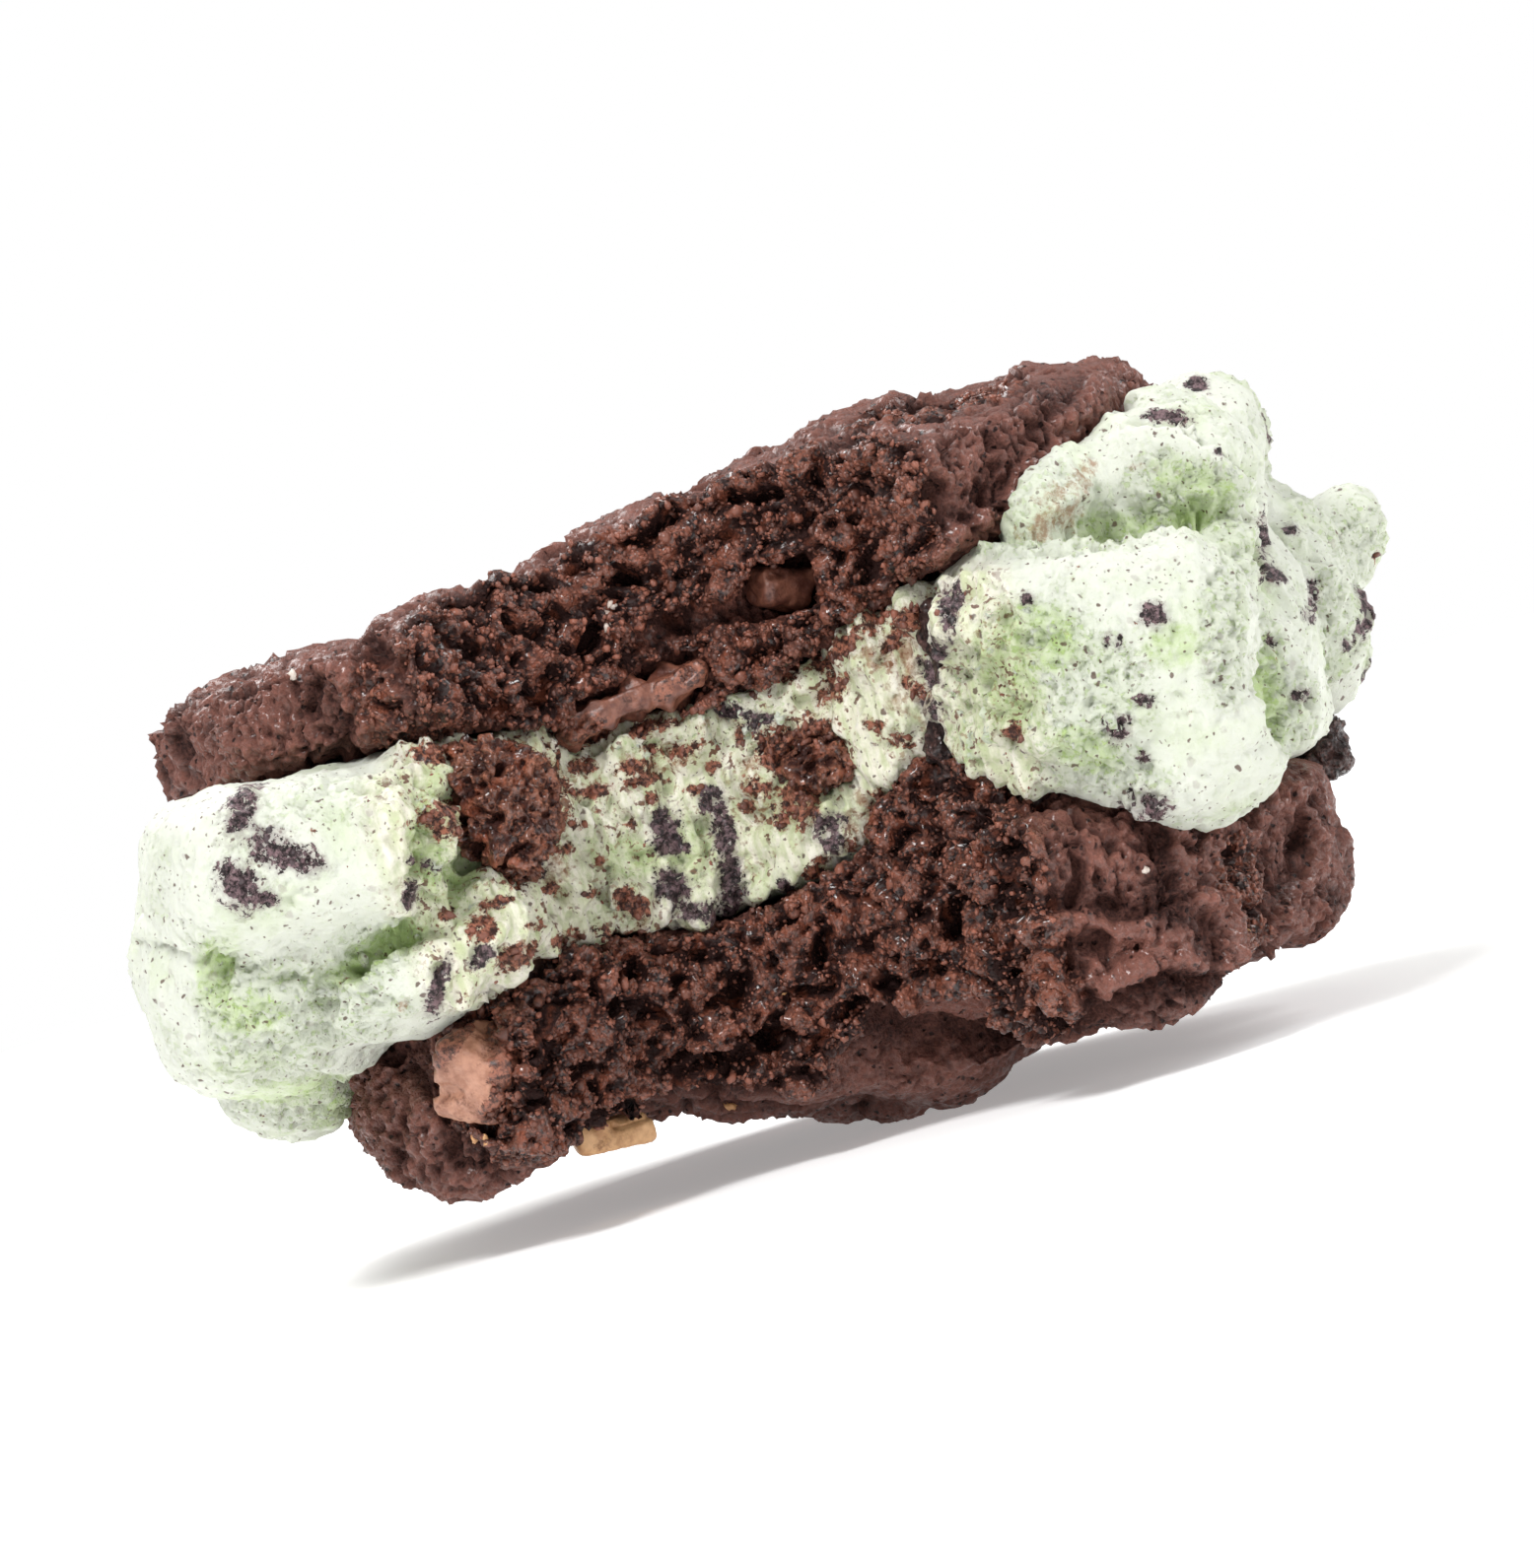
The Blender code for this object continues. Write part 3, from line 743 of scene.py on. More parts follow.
# %% Both cookies
TOP_TORN = [(Vector((20, -23, 53)), 9), (Vector((15, -27, 46)), 7), (Vector((-26, -33, 45)), 6)]
TOP_SMOOTH = [(Vector((34, -24, 55)), 10)]
BOTTOM_TORN = [
    (Vector((-24, -32, 14)), 10),
    (Vector((14, -31, 24)), 10),
    (Vector((10, -28, 16)), 8),
    (Vector((33, -33, 13)), 4),
    (Vector((33, -33, 8)), 3.5),
]
BOTTOM_SMOOTH = [(Vector((5, -18, 2)), 18), (Vector((26, -38, 10)), 4), (Vector((44, -8, 12)), 16)]
TOP_LEDGES = (
    (0.9, (480, 600), (560, 560), (640, 530), (700, 480), (760, 455), (830, 440)),
    (0.8, (430, 690), (520, 640), (600, 600), (680, 560), (800, 500), (870, 470)),
    (1.1, (880, 440), (845, 480), (825, 540), (830, 600)),
    (1.0, (1100, 390), (1060, 440), (1020, 500), (960, 540)),
    (0.9, (330, 690), (360, 740), (345, 800)),
)
BOTTOM_LEDGES = (
    (2.0, (600, 1130), (626, 1121), (703, 1104), (737, 1074))
    + ((750, 1047), (824, 1044), (864, 1007), (898, 1020)),
    (1.6, (898, 1020), (960, 1030), (1035, 1035)),
    (2.0, (1040, 1000), (1060, 1030), (1090, 1042), (1130, 1005), (1180, 985), (1240, 985), (1290, 955)),
    (1.2, (1040, 870), (1035, 930), (1045, 990)),
    (1.8, (1190, 850), (1205, 900), (1235, 925), (1245, 960)),
    (-1.6, (1040, 930), (1100, 925), (1150, 935), (1205, 915)),
    (1.0, (1330, 850), (1310, 900), (1290, 950)),
    (0.9, (450, 1150), (430, 1110), (400, 1085)),
)
top_skin = cookie_skin("top_cookie", TOP_BITE, TOP_TORN, TOP_SMOOTH, TOP_LEDGES, 1)
bottom_skin = cookie_skin("bottom_cookie", BOTTOM_BITE, BOTTOM_TORN, BOTTOM_SMOOTH, BOTTOM_LEDGES, -1)

# %% [markdown]
# ## The ice cream
#
# Where it was pressed against paper or a spoon, ice cream is smooth. Where it was pulled apart it is
# granular and full of small caves. Teeth leave fine upright ridges. Which is where could be left to one
# noise, but the eye compares these places first, so the rough patches, the caves and the greenest spots
# are placed by pixel. Each row is a pixel, a length and a width in millimetres and a lean in degrees.

# %% Where the ice cream is rough, hollow or green
ROUGH_PATCHES = (
    (223, 985, 3, 5, 0), (315, 1001, 13, 3.5, -10), (391, 958, 6, 4, 30), (364, 985, 5, 3, 0),
    (284, 1085, 8, 6, 0), (330, 1100, 8, 6, 0), (437, 847, 3.5, 8, 0), (472, 886, 3, 8, 0),
    (1215, 515, 7, 8, -60), (1179, 490, 5, 5, 0), (1145, 535, 12, 3, 10), (1048, 650, 8, 6, -15),
    (1000, 690, 6, 8, 0), (990, 740, 7, 5, 0), (1290, 700, 5, 12, 10), (1240, 640, 4, 10, 0),
    (1102, 767, 12, 5, -20), (700, 740, 16, 4, 10), (300, 1040, 14, 7, -15), (310, 1120, 12, 6, -20),
    (1350, 550, 9, 10, 0), (1388, 545, 6, 6, 0), (1345, 650, 7, 10, 0), (1315, 730, 6, 8, 0),
    (1105, 700, 8, 8, 0), (1250, 560, 4, 6, 0), (1060, 560, 14, 2, 0),
)
CAVE_PATCHES = (
    (223, 990, 1.6, 4.5, 0), (391, 955, 4.5, 1.8, 30), (362, 985, 2.2, 1.4, 0), (276, 1083, 3, 1.4, 0),
    (434, 850, 2, 4.5, 0), (470, 884, 1.3, 5, -10), (1187, 541, 4, 1.0, -10), (1213, 520, 2.4, 3, 60),
    (1283, 548, 1.4, 4, 0), (1049, 648, 2, 1.5, 0), (1175, 432, 5, 0.9, 0), (1225, 452, 5, 0.9, -30),
    (1262, 478, 4, 0.9, -35), (1275, 515, 1.0, 5, 0), (1100, 552, 8, 0.8, 0),
)
GREEN_PATCHES = (
    (300, 1112, 13, 5.5, -22), (348, 1125, 5, 5, 0), (220, 985, 3, 6, 0), (400, 955, 7, 3, 30),
    (365, 985, 5, 2, 20), (436, 852, 3, 8, 0), (470, 880, 3, 7, 0), (455, 800, 5, 4, 0),
    (250, 1030, 5, 3, 0), (1049, 648, 6, 5, 0), (1020, 690, 5, 8, 20), (1195, 525, 6, 4, 20),
    (1215, 500, 4, 7, 60), (1284, 715, 3.5, 8, 0), (1120, 540, 6, 3, 0), (1190, 655, 4, 3, 0),
    (815, 790, 5, 9, -10), (700, 870, 4, 6, 0), (640, 870, 5, 3, 0), (860, 900, 8, 2, 15),
    (1100, 760, 5, 3, -20),
)

# %% [markdown]
# The ice cream is skinned like a cookie. Most of its top and bottom lies under the cookies, where its faces
# are thinned out, and the lumps in front get the finer squares.

# %% The skin of the ice cream
ICE_SQUARES = 0.66


def reaches_out(point):
    """Whether a point is beyond the cookies or in the bite."""
    return math.hypot(point.x, point.y) > SIDES_START or bitten(point, ICE_BITE, 4) > 0.3


def under_a_cookie(point, normal):
    return abs(normal.z) > 0.6 and not reaches_out(point)


def ice_in_front(point, normal):
    return reaches_out(point) and point.y < -12 and normal.y < 0.1 and abs(normal.z) < 0.93


ice_skin = merged_copy("ice_cream", "ice_cream_skin")
even_squares(ice_skin, ICE_SQUARES)
smooth(ice_skin, 10)
thin_out(ice_skin, under_a_cookie, HIDDEN_RATIO)
split_faces(ice_skin, ice_in_front)
smooth(ice_skin, 1)
ice_trees = [skin_tree(ice_skin)]

# %% [markdown]
# Ground cookie makes the ice cream speckled: dark bits of every size, and brown crumbs that fell from the
# bite. The large ones are part of the solid. The others are patches, which get a raised and grainy relief,
# grains and a stain further down.

# %% What lies on the ice cream
DARK_PATCHES = (
    (246, 822, 4.8, 2.2, 75), (275, 858, 3.6, 2.4, -35), (305, 872, 3.6, 1.7, -15),
    (244, 901, 3.6, 2.6, -60), (272, 912, 1.6, 1.0, 0), (416, 907, 2.0, 0.8, 75),
    (430, 876, 1.8, 0.7, -20), (448, 992, 3.0, 0.9, 68), (441, 1016, 2.6, 1.2, 75),
    (493, 966, 1.3, 1.1, 0), (482, 977, 1.2, 0.9, 0), (535, 877, 2.6, 1.8, -20),
    (675, 838, 2.6, 2.2, 80), (678, 856, 2.4, 1.6, 0), (722, 812, 2.4, 1.8, -60),
    (734, 850, 4.0, 1.6, -75), (741, 888, 4.0, 1.4, 88), (738, 920, 4.2, 1.8, 60),
    (685, 899, 3.2, 2.2, -40), (702, 924, 3.4, 1.6, 0), (840, 840, 3.0, 2.0, 70),
    (846, 856, 2.2, 1.6, 0), (800, 902, 2.2, 1.0, -70), (740, 720, 2.2, 1.0, 0),
    (770, 728, 2.4, 0.9, -15), (762, 738, 1.4, 0.8, 0), (962, 620, 3.4, 1.5, 80),
    (954, 655, 2.6, 1.8, 60), (950, 690, 3.0, 1.3, -50), (948, 722, 2.8, 1.4, -40),
    (965, 745, 2.6, 1.1, -55), (1170, 623, 1.9, 1.8, 0), (1134, 737, 1.8, 1.8, 0),
    (1161, 711, 1.2, 0.8, 0), (1162, 817, 3.0, 2.2, 10), (1249, 839, 3.2, 1.1, 5),
    (1042, 608, 0.9, 0.9, 0), (1160, 768, 1.0, 0.7, 0), (1123, 650, 1.4, 0.5, 80),
    (1134, 652, 1.0, 0.5, 80), (1215, 391, 1.6, 1.3, 0), (1186, 423, 3.2, 1.1, -5),
    (1283, 545, 3.6, 1.5, 88), (1293, 580, 2.2, 1.8, 0), (1326, 610, 2.6, 1.5, 75),
    (1322, 625, 1.6, 1.2, 0), (1308, 537, 1.2, 0.9, 0), (1364, 655, 1.2, 0.9, 0),
    (1318, 706, 1.6, 1.0, 0), (1236, 460, 1.0, 0.7, 0), (1103, 445, 1.2, 0.8, 20),
    (1270, 607, 0.7, 0.5, 0), (1290, 650, 0.6, 0.6, 0),
)
CRUMB_PATCHES = (
    (505, 790, 6.0, 4.5, 20), (545, 790, 4.0, 3.0, 40), (505, 835, 5.5, 4.2, -60),
    (515, 875, 3.8, 2.4, -70), (450, 832, 3.4, 2.6, -20), (570, 800, 1.8, 1.2, 0),
    (640, 917, 3.0, 1.8, -20), (620, 948, 2.6, 1.6, -70), (487, 942, 2.0, 1.8, 0),
    (500, 917, 2.4, 0.9, 15), (451, 927, 1.0, 1.0, 0), (541, 939, 1.1, 0.8, 0),
    (750, 747, 1.6, 0.9, 85), (705, 802, 1.5, 0.9, 0), (757, 819, 1.2, 1.0, 0),
    (645, 777, 2.6, 0.9, 15), (790, 760, 3.0, 3.4, 0), (825, 745, 4.0, 2.4, 20),
    (808, 815, 3.4, 3.0, -40), (825, 887, 1.3, 1.0, 0), (907, 854, 1.0, 0.9, 0),
    (890, 822, 1.0, 0.8, 0), (893, 806, 1.5, 0.9, -20), (870, 882, 0.8, 0.8, 0),
    (912, 749, 1.6, 1.0, -30), (925, 627, 3.2, 1.8, 20), (905, 650, 2.4, 1.2, 40),
    (1027, 745, 1.5, 1.1, -20), (845, 700, 3.0, 1.4, 45), (600, 905, 1.2, 0.8, 0),
    (660, 760, 1.4, 0.8, 0), (585, 745, 3.0, 1.2, -10), (860, 780, 1.2, 0.9, 0),
    (575, 700, 3.0, 1.4, 10), (690, 668, 3.0, 1.6, 20), (600, 803, 4.0, 1.0, 15),
    (650, 792, 3.0, 0.8, 10), (560, 832, 2.4, 1.2, 20), (590, 778, 2.5, 1.2, 0),
    (690, 762, 2.5, 1.0, 20), (660, 812, 1.2, 0.8, 0), (722, 778, 1.4, 1.0, 30),
    (770, 800, 2.4, 1.2, -30), (792, 832, 1.8, 1.2, -50), (862, 858, 1.6, 0.9, -30),
    (832, 872, 1.2, 0.8, 0), (575, 862, 1.4, 0.9, 0), (560, 903, 1.2, 0.8, 0), (612, 872, 0.9, 0.7, 0),
    (640, 836, 0.9, 0.7, 0), (584, 838, 2.0, 0.7, 0), (930, 700, 2.0, 1.0, -40),
    (885, 735, 1.5, 1.0, -30), (640, 722, 4.0, 0.9, 15), (440, 765, 4.0, 1.4, 10),
    (600, 745, 4.0, 1.4, 25), (665, 738, 4.0, 1.2, 10), (725, 705, 4.0, 1.6, 25),
    (790, 690, 5.0, 1.6, 20), (850, 660, 4.0, 1.6, 35), (885, 632, 3.4, 1.6, 45),
    (525, 970, 3.0, 1.6, 30), (570, 952, 4.0, 1.2, 10), (640, 948, 4.0, 1.2, 5),
    (760, 940, 5.0, 1.4, 5), (850, 928, 4.0, 1.2, 15), (905, 905, 3.6, 1.4, 25),
)
dark_patches = patches(ice_trees, DARK_PATCHES) + patches_behind(ice_skin, 19, 34, 0.8, 4.6)
crumb_patches = patches(ice_trees, CRUMB_PATCHES) + patches_behind(ice_skin, 23, 12, 0.7, 2.4)

# %% [markdown]
# The relief has one term for each thing that happened to the surface: slow waves and dents everywhere,
# grains and holes where it is rough, ridges and scoops where it was bitten, deep caves, and lumps where
# something lies on it. Each is weighed by how much of it a point has. The whole skin also swells a little,
# because smoothing drew it in.

# %% Ledges and covers of the ice cream
ICE_SWELL = 0.35
ICE_LEDGES = (
    (2.0, (1250, 533), (1200, 545), (1125, 556), (1060, 552), (994, 560)),
    (2.4, (1287, 812), (1290, 760), (1264, 700), (1270, 650), (1258, 592), (1262, 545)),
    (1.6, (1280, 500), (1250, 470), (1200, 432), (1150, 425)),
    (1.6, (1285, 590), (1275, 540), (1270, 495)),
    (2.2, (425, 930), (405, 905), (418, 870), (420, 830), (415, 786)),
    (1.3, (165, 955), (215, 965), (270, 985), (320, 985), (360, 960), (405, 930)),
    (1.2, (444, 936), (424, 960), (380, 976), (348, 996), (340, 1024)),
    (1.0, (235, 1090), (300, 1075), (360, 1090)),
    (1.2, (965, 600), (985, 660), (970, 720), (1000, 780)),
)
ice_places = places_of(ice_skin)
ice_ledges = ledges(ice_skin, ICE_LEDGES)
lying_on = np.maximum(covered_by(ice_places, dark_patches, 1.4), covered_by(ice_places, crumb_patches, 1.4))
rough_patches = patches(ice_trees, ROUGH_PATCHES) + patches_behind(ice_skin, 29, 9, 5, 14)
cave_patches = patches(ice_trees, CAVE_PATCHES) + patches_behind(ice_skin, 31, 7, 2, 6)
rough_cover = covered_by(ice_places, rough_patches, 1.5)
cave_cover = covered_by(ice_places, cave_patches, 1.5)


# %% The relief of the ice cream
def rough_height(point):
    """Relief of ice cream that was pulled apart."""
    grains = 0.42 * bulge(bent(point, 2, 0.6), 1.3) + 0.38 * bulge(point, 0.75)
    holes = -0.5 * smooth_step(0.1, 0.4, wave(point, 1.6))
    holes -= 0.4 * smooth_step(0.05, 0.35, wave(point, 0.75))
    return grains + holes - 0.1


def tooth_height(point):
    """Relief of bitten ice cream: leaning ridges, and scoops between them."""
    swayed = bent(point, 5, 2.0)
    lean = Vector((swayed.x - 0.3 * (swayed.z - 30), swayed.y, (swayed.z + 0.3 * swayed.x) * 0.2))
    ridges = 0.8 * wave(lean, 1.6) + 0.5 * wave(lean, 0.7)
    scoops = 1.5 * wave(point, 3.5) - 0.9 * smooth_step(0.15, 0.45, wave(point, 1.6))
    return ridges + (scoops + 0.4 * bulge(point, 1.1))


def cave_height(point):
    return 0.7 * bulge(bent(point, 2, 0.6), 1.1) + 0.5 * bulge(point, 0.6) - 1.6


def stuck_height(point):
    """Relief of dark bits and crumbs that lie on the ice cream."""
    return 0.6 * bulge(bent(point, 1.5, 0.3), 0.8) - 0.5 * smooth_step(0.1, 0.4, wave(point, 0.7))


ROUGH_WAVE_SHIFT = Vector((40, 0, 0))
ice_rough = []
ice_bites = []
ice_heights = []
for place, patch_cover, cave, ledge, bit in zip(
    ice_places.tolist(), rough_cover, cave_cover, ice_ledges, lying_on
):
    point = Vector(place)
    edge = 0.35 * wave(point, 1.5)
    rough = smooth_step(0.15, 0.6, patch_cover + edge) if patch_cover > 0 else 0
    rough = max(rough, 0.5 * smooth_step(0.0, 0.35, wave(point + ROUGH_WAVE_SHIFT, 7)))
    bite = bitten(point, ICE_BITE, 2.5)
    dents = -0.2 * smooth_step(0.15, 0.45, wave(bent(point, 1, 0.4), 0.9))
    made = 0.5 * wave(point, 4.5) + 0.22 * wave(point, 1.5) + 0.14 * wave(point, 0.6) + dents + ledge
    if rough > 0:
        made += rough * rough_height(point)
    if bite > 0:
        made = made * (1 - bite) + bite * (tooth_height(point) + 0.3 * made)
    hollow = smooth_step(0.25, 0.9, cave * (1 + 2.5 * edge))
    if hollow > 0:
        made += hollow * cave_height(point)
    if bit > 0:
        made += bit * stuck_height(point)
    ice_rough.append(rough)
    ice_bites.append(bite)
    ice_heights.append(made)
store(ice_skin.data, "bitten", ice_bites)
store(ice_skin.data, "rough", ice_rough)
store(ice_skin.data, "relief", ice_heights)
moved = ice_places + normals_of(ice_skin) * (np.array(ice_heights)[:, None] + ICE_SWELL)
ice_skin.data.vertices.foreach_set("co", (moved * MM).astype(np.float32).ravel())
ice_skin.data.update()
print(ice_skin.name, triangle_count(ice_skin), "triangles")

# %% [markdown]
# ## The pieces of chocolate and crumb
#
# Each is small enough to be fine all over. Broken chocolate keeps its flat faces and gets worn edges and a
# few chips, and chocolate that melted is pulled along. Crumb gets the relief of the bitten cookie, and
# dark cookie is nothing but grains. Crumbs are the smallest and the most rugged, so their squares are the
# finest.

# %% Skins of the loose pieces
PIECE_SQUARES = 0.3
CRUMB_SQUARES = PIECE_SQUARES * 0.6


def chocolate_height(point, normal):
    chips = -0.5 * smooth_step(0.25, 0.5, wave(point, 2.2))
    return 0.25 * wave(point, 2.5) + 0.12 * wave(point, 0.8) + 0.06 * wave(point, 0.4) + chips


def melted_height(point, normal):
    pulled = squeezed(point, 0.35, 1, 1)
    ragged = 1.6 * wave(point, 2.4) + 0.8 * wave(point, 1.0)
    return 0.4 * wave(pulled, 0.9) + ragged * (1 - 0.6 * abs(normal.y)) - 0.35


def grain_height(point, normal):
    return 0.6 * bulge(bent(point, 1.5, 0.4), 1.2) + 0.3 * bulge(point, 0.7) + 1.0 * wave(point, 2.5) - 0.5


def crumb_piece_height(point, normal):
    return 0.55 * crumb_height(point * 1.6) + 0.8 * wave(point, 3.2)


def piece_skin(node, height_at, rounds, squares):
    piece = merged_copy(node, node + "_skin")
    even_squares(piece, squares)
    smooth(piece, rounds)
    relieve(piece, height_at)
    mark(piece, "torn", lambda point, normal: 1.0)
    print(piece.name, triangle_count(piece), "triangles")
    return piece


PIECES = {
    "milk_chocolate_chunk": (chocolate_height, 2, PIECE_SQUARES),
    "melted_chocolate": (melted_height, 4, PIECE_SQUARES),
    "chocolate_chip": (chocolate_height, 2, PIECE_SQUARES),
    "peanut_butter_chip": (chocolate_height, 2, PIECE_SQUARES),
    "fallen_crumb": (crumb_piece_height, 4, CRUMB_SQUARES),
    "small_crumb": (crumb_piece_height, 4, CRUMB_SQUARES),
    "dark_cookie_side": (grain_height, 4, PIECE_SQUARES),
    "dark_cookie_upper": (grain_height, 4, PIECE_SQUARES),
    "dark_cookie_lower": (grain_height, 4, PIECE_SQUARES),
}
piece_skins = {node: piece_skin(node, *how) for node, how in PIECES.items()}

# %% [markdown]
# ## Crumbs
#
# Nothing makes crumb look like crumb as much as loose grains of it. A grain is a ball with few faces,
# stretched, dented and turned at random, and half sunk into what it lies on. Geometry nodes could scatter
# them. A class does it here, because the grains follow the same patches as the relief. All the grains of
# one kind are one mesh, and each grain carries a random shade on its points.


# %% Grains
class Grains:
    """A growing list of grains of one kind."""

    def __init__(self, name, seed, fineness=1):
        self.name = name
        self.rng = random.Random(seed)
        bm = bmesh.new()
        bmesh.ops.create_icosphere(bm, subdivisions=fineness, radius=0.5)
        self.corners = [vert.co.copy() for vert in bm.verts]
        self.faces = [[vert.index for vert in face.verts] for face in bm.faces]
        bm.free()
        self.points = []
        self.polygons = []
        self.shades = []

    def add(self, place, normal, size, flatness=0.8, sink=0.15):
        rng = self.rng
        turn = Euler([rng.uniform(0, math.tau) for _ in range(3)]).to_matrix()
        stretch = [size * rng.uniform(0.55, 1.35) for _ in range(3)]
        lean = normal.to_track_quat("Z", "Y").to_matrix()
        middle = place - normal * size * sink
        first = len(self.points)
        for corner in self.corners:
            dented = turn @ Vector(c * s for c, s in zip(corner * rng.uniform(0.65, 1.3), stretch))
            along = lean.transposed() @ dented
            along.z *= flatness
            self.points.append((middle + lean @ along) * MM)
        self.polygons.extend([first + index for index in face] for face in self.faces)
        self.shades.extend([rng.random()] * len(self.corners))

    def fill(self, trees, some, size, closeness, **seat):
        """Packs grains into patches: closeness 1 leaves hardly any gap."""
        for patch in some:
            area = math.pi / 4 * patch.length * patch.width
            for _ in range(max(1, round(closeness * 1.6 * area / (size * size)))):
                reach = math.sqrt(self.rng.random()) * self.rng.uniform(0.75, 1.15)
                angle = self.rng.uniform(0, math.tau)
                place, normal = patch.land(trees, reach * math.cos(angle), reach * math.sin(angle))
                if place:
                    self.add(place, normal, size * self.rng.uniform(0.55, 1.3), **seat)

    def strew(self, obj, mask, count, low, high, **seat):
        """Scatters grains over the points of a skin where the mask is above a half."""
        chosen = np.flatnonzero(np.asarray(mask) > 0.5).tolist()
        for index in self.rng.sample(chosen, min(count, len(chosen))):
            vert = obj.data.vertices[index]
            self.add(vert.co / MM, vert.normal, low + (high - low) * self.rng.random() ** 2, **seat)

    def build(self):
        mesh = bpy.data.meshes.new(self.name)
        mesh.from_pydata(self.points, [], self.polygons)
        store(mesh, "shade", self.shades)
        made = link(bpy.data.objects.new(self.name, mesh))
        print(self.name, triangle_count(made), "triangles")
        return made


def values_of(obj, name):
    layer = obj.data.attributes[name]
    values = np.empty(len(layer.data), np.float32)
    layer.data.foreach_get("value", values)
    return values


# %% [markdown]
# Chocolate that sat in crumb is never clean. Where crumb stuck to it, its skin is raised and rugged like
# crumb, the finish turns brown by the attribute that is kept here, and grains follow in the next step.

# %% Crumb that stuck to the chocolate
STUCK_CRUMB_PATCHES = {
    "milk_chocolate_chunk": (
        (522, 1085, 4.0, 10.0, 0), (512, 1050, 3.0, 3.5, 0), (452, 1056, 7.0, 2.6, 48),
        (478, 1142, 8.0, 1.6, 5), (505, 1128, 3.0, 2.4, 0), (432, 1085, 2.0, 5.0, 0),
    ),
    "melted_chocolate": (
        (590, 738, 4.0, 2.2, 20), (672, 700, 2.0, 1.6, 60), (700, 684, 3.0, 2.0, 20),
        (716, 676, 2.0, 2.0, 0), (618, 745, 3.0, 1.2, 0),
    ),
}
BARE_BELOW = 0.4
stuck_crumb = []
for node, rows in STUCK_CRUMB_PATCHES.items():
    chocolate = piece_skins[node]
    chocolate_trees = [skin_tree(chocolate)]
    stuck = patches(chocolate_trees, rows)
    stuck_crumb.append((chocolate_trees, stuck))
    covers = covered_by(places_of(chocolate), stuck, 1.5)
    store(chocolate.data, "crumbs", covers)
    for vert, cover in zip(chocolate.data.vertices, covers.tolist()):
        if cover > BARE_BELOW:
            vert.co += vert.normal * (0.5 + 0.7 * crumb_height(vert.co / MM)) * (cover - BARE_BELOW) * MM
print(sum(len(stuck) for _, stuck in stuck_crumb), "patches of crumb on the chocolate")

# %% [markdown]
# Large grains fill the patches, where the picture shows heaps of them. Small ones are strewn over
# everything torn or bitten. Sizes lean towards the small end, as they do when something crumbles.

# %% Grains on the ice cream and on the torn faces
DARK_GRAIN = 0.55
CRUMB_GRAIN = 0.7

front_trees = [skin_tree(obj) for obj in (ice_skin, top_skin, bottom_skin, *piece_skins.values())]
ice_trees = [front_trees[0]]
dark_grains = Grains("dark_cookie_grains", 3)
dark_grains.fill(ice_trees, dark_patches, DARK_GRAIN, 0.4, flatness=0.6, sink=0.2)

crumb_grains = Grains("cookie_grains", 5)
crumb_grains.fill(front_trees, crumb_patches, CRUMB_GRAIN, 0.55, sink=0.1)
for chocolate_trees, stuck in stuck_crumb:
    crumb_grains.fill(chocolate_trees, stuck, CRUMB_GRAIN, 0.5, sink=0.2)


def front_where(obj, name, above):
    """The points in front where a kept value is above a limit."""
    return (values_of(obj, name) > above) & facing_front(obj)


for cookie, count in ((top_skin, 450), (bottom_skin, 500)):
    crumb_grains.strew(cookie, front_where(cookie, "torn", 0.7), count, 0.5, 1.2, sink=0.25)

fine_grains = Grains("fine_cookie_grains", 7)
ice_bitten = front_where(ice_skin, "bitten", 0.5)
fine_grains.strew(ice_skin, ice_bitten, 500, 0.15, 0.6, flatness=0.5, sink=0.2)
fine_grains.strew(ice_skin, np.ones(len(ice_bitten)), 300, 0.12, 0.4, flatness=0.5, sink=0.25)
for cookie, count in ((top_skin, 3400), (bottom_skin, 3600)):
    fine_grains.strew(cookie, front_where(cookie, "torn", 0.5), count, 0.25, 0.7, sink=0.05)

# %% [markdown]
# Ice cream crumbles too, where it was pulled apart. A few grains are neither cream nor cookie: pale ones
# like bits of nut, and tan ones from the peanut chip.

# %% Crumbs of ice cream, and pale and tan bits
ice_grains = Grains("ice_cream_grains", 11)
ice_grains.fill(ice_trees, rough_patches, 0.9, 0.3, sink=0.35)
ice_grains.strew(ice_skin, values_of(ice_skin, "rough") > 0.6, 350, 0.35, 0.9, sink=0.4)

PALE_PATCHES = (
    (618, 618, 1.2, 1.4, 0), (616, 641, 1.3, 0.9, 0), (300, 686, 0.9, 0.7, 0),
    (1160, 884, 1.6, 0.8, 10),
)
TAN_PATCHES = (
    (487, 1156, 1.5, 1.1, -30), (745, 1122, 1.1, 0.8, 0), (800, 1010, 0.8, 0.8, 0),
    (1265, 945, 0.8, 0.6, 0),
)
pale_grains = Grains("pale_grains", 13, fineness=2)
pale_grains.fill(front_trees, patches(front_trees, PALE_PATCHES), 0.8, 0.8)
tan_grains = Grains("tan_grains", 17, fineness=2)
tan_grains.fill(front_trees, patches(front_trees, TAN_PATCHES), 0.8, 0.9)

dark_obj = dark_grains.build()
crumb_obj = crumb_grains.build()
fine_obj = fine_grains.build()
ice_grain_obj = ice_grains.build()
for name, value in (("rough", 1), ("green", 0.45)):
    store(ice_grain_obj.data, name, np.full(len(ice_grain_obj.data.vertices), value))
pale_obj = pale_grains.build()
tan_obj = tan_grains.build()

# %% [markdown]
# Dark bits bleed a purplish grey into the ice cream round them, and crumbs leave brown smears. A painted
# picture could hold them, but it would need an unwrapped skin. They are kept on the points of the skin,
# like the relief, and noise in the finish frays their edges.

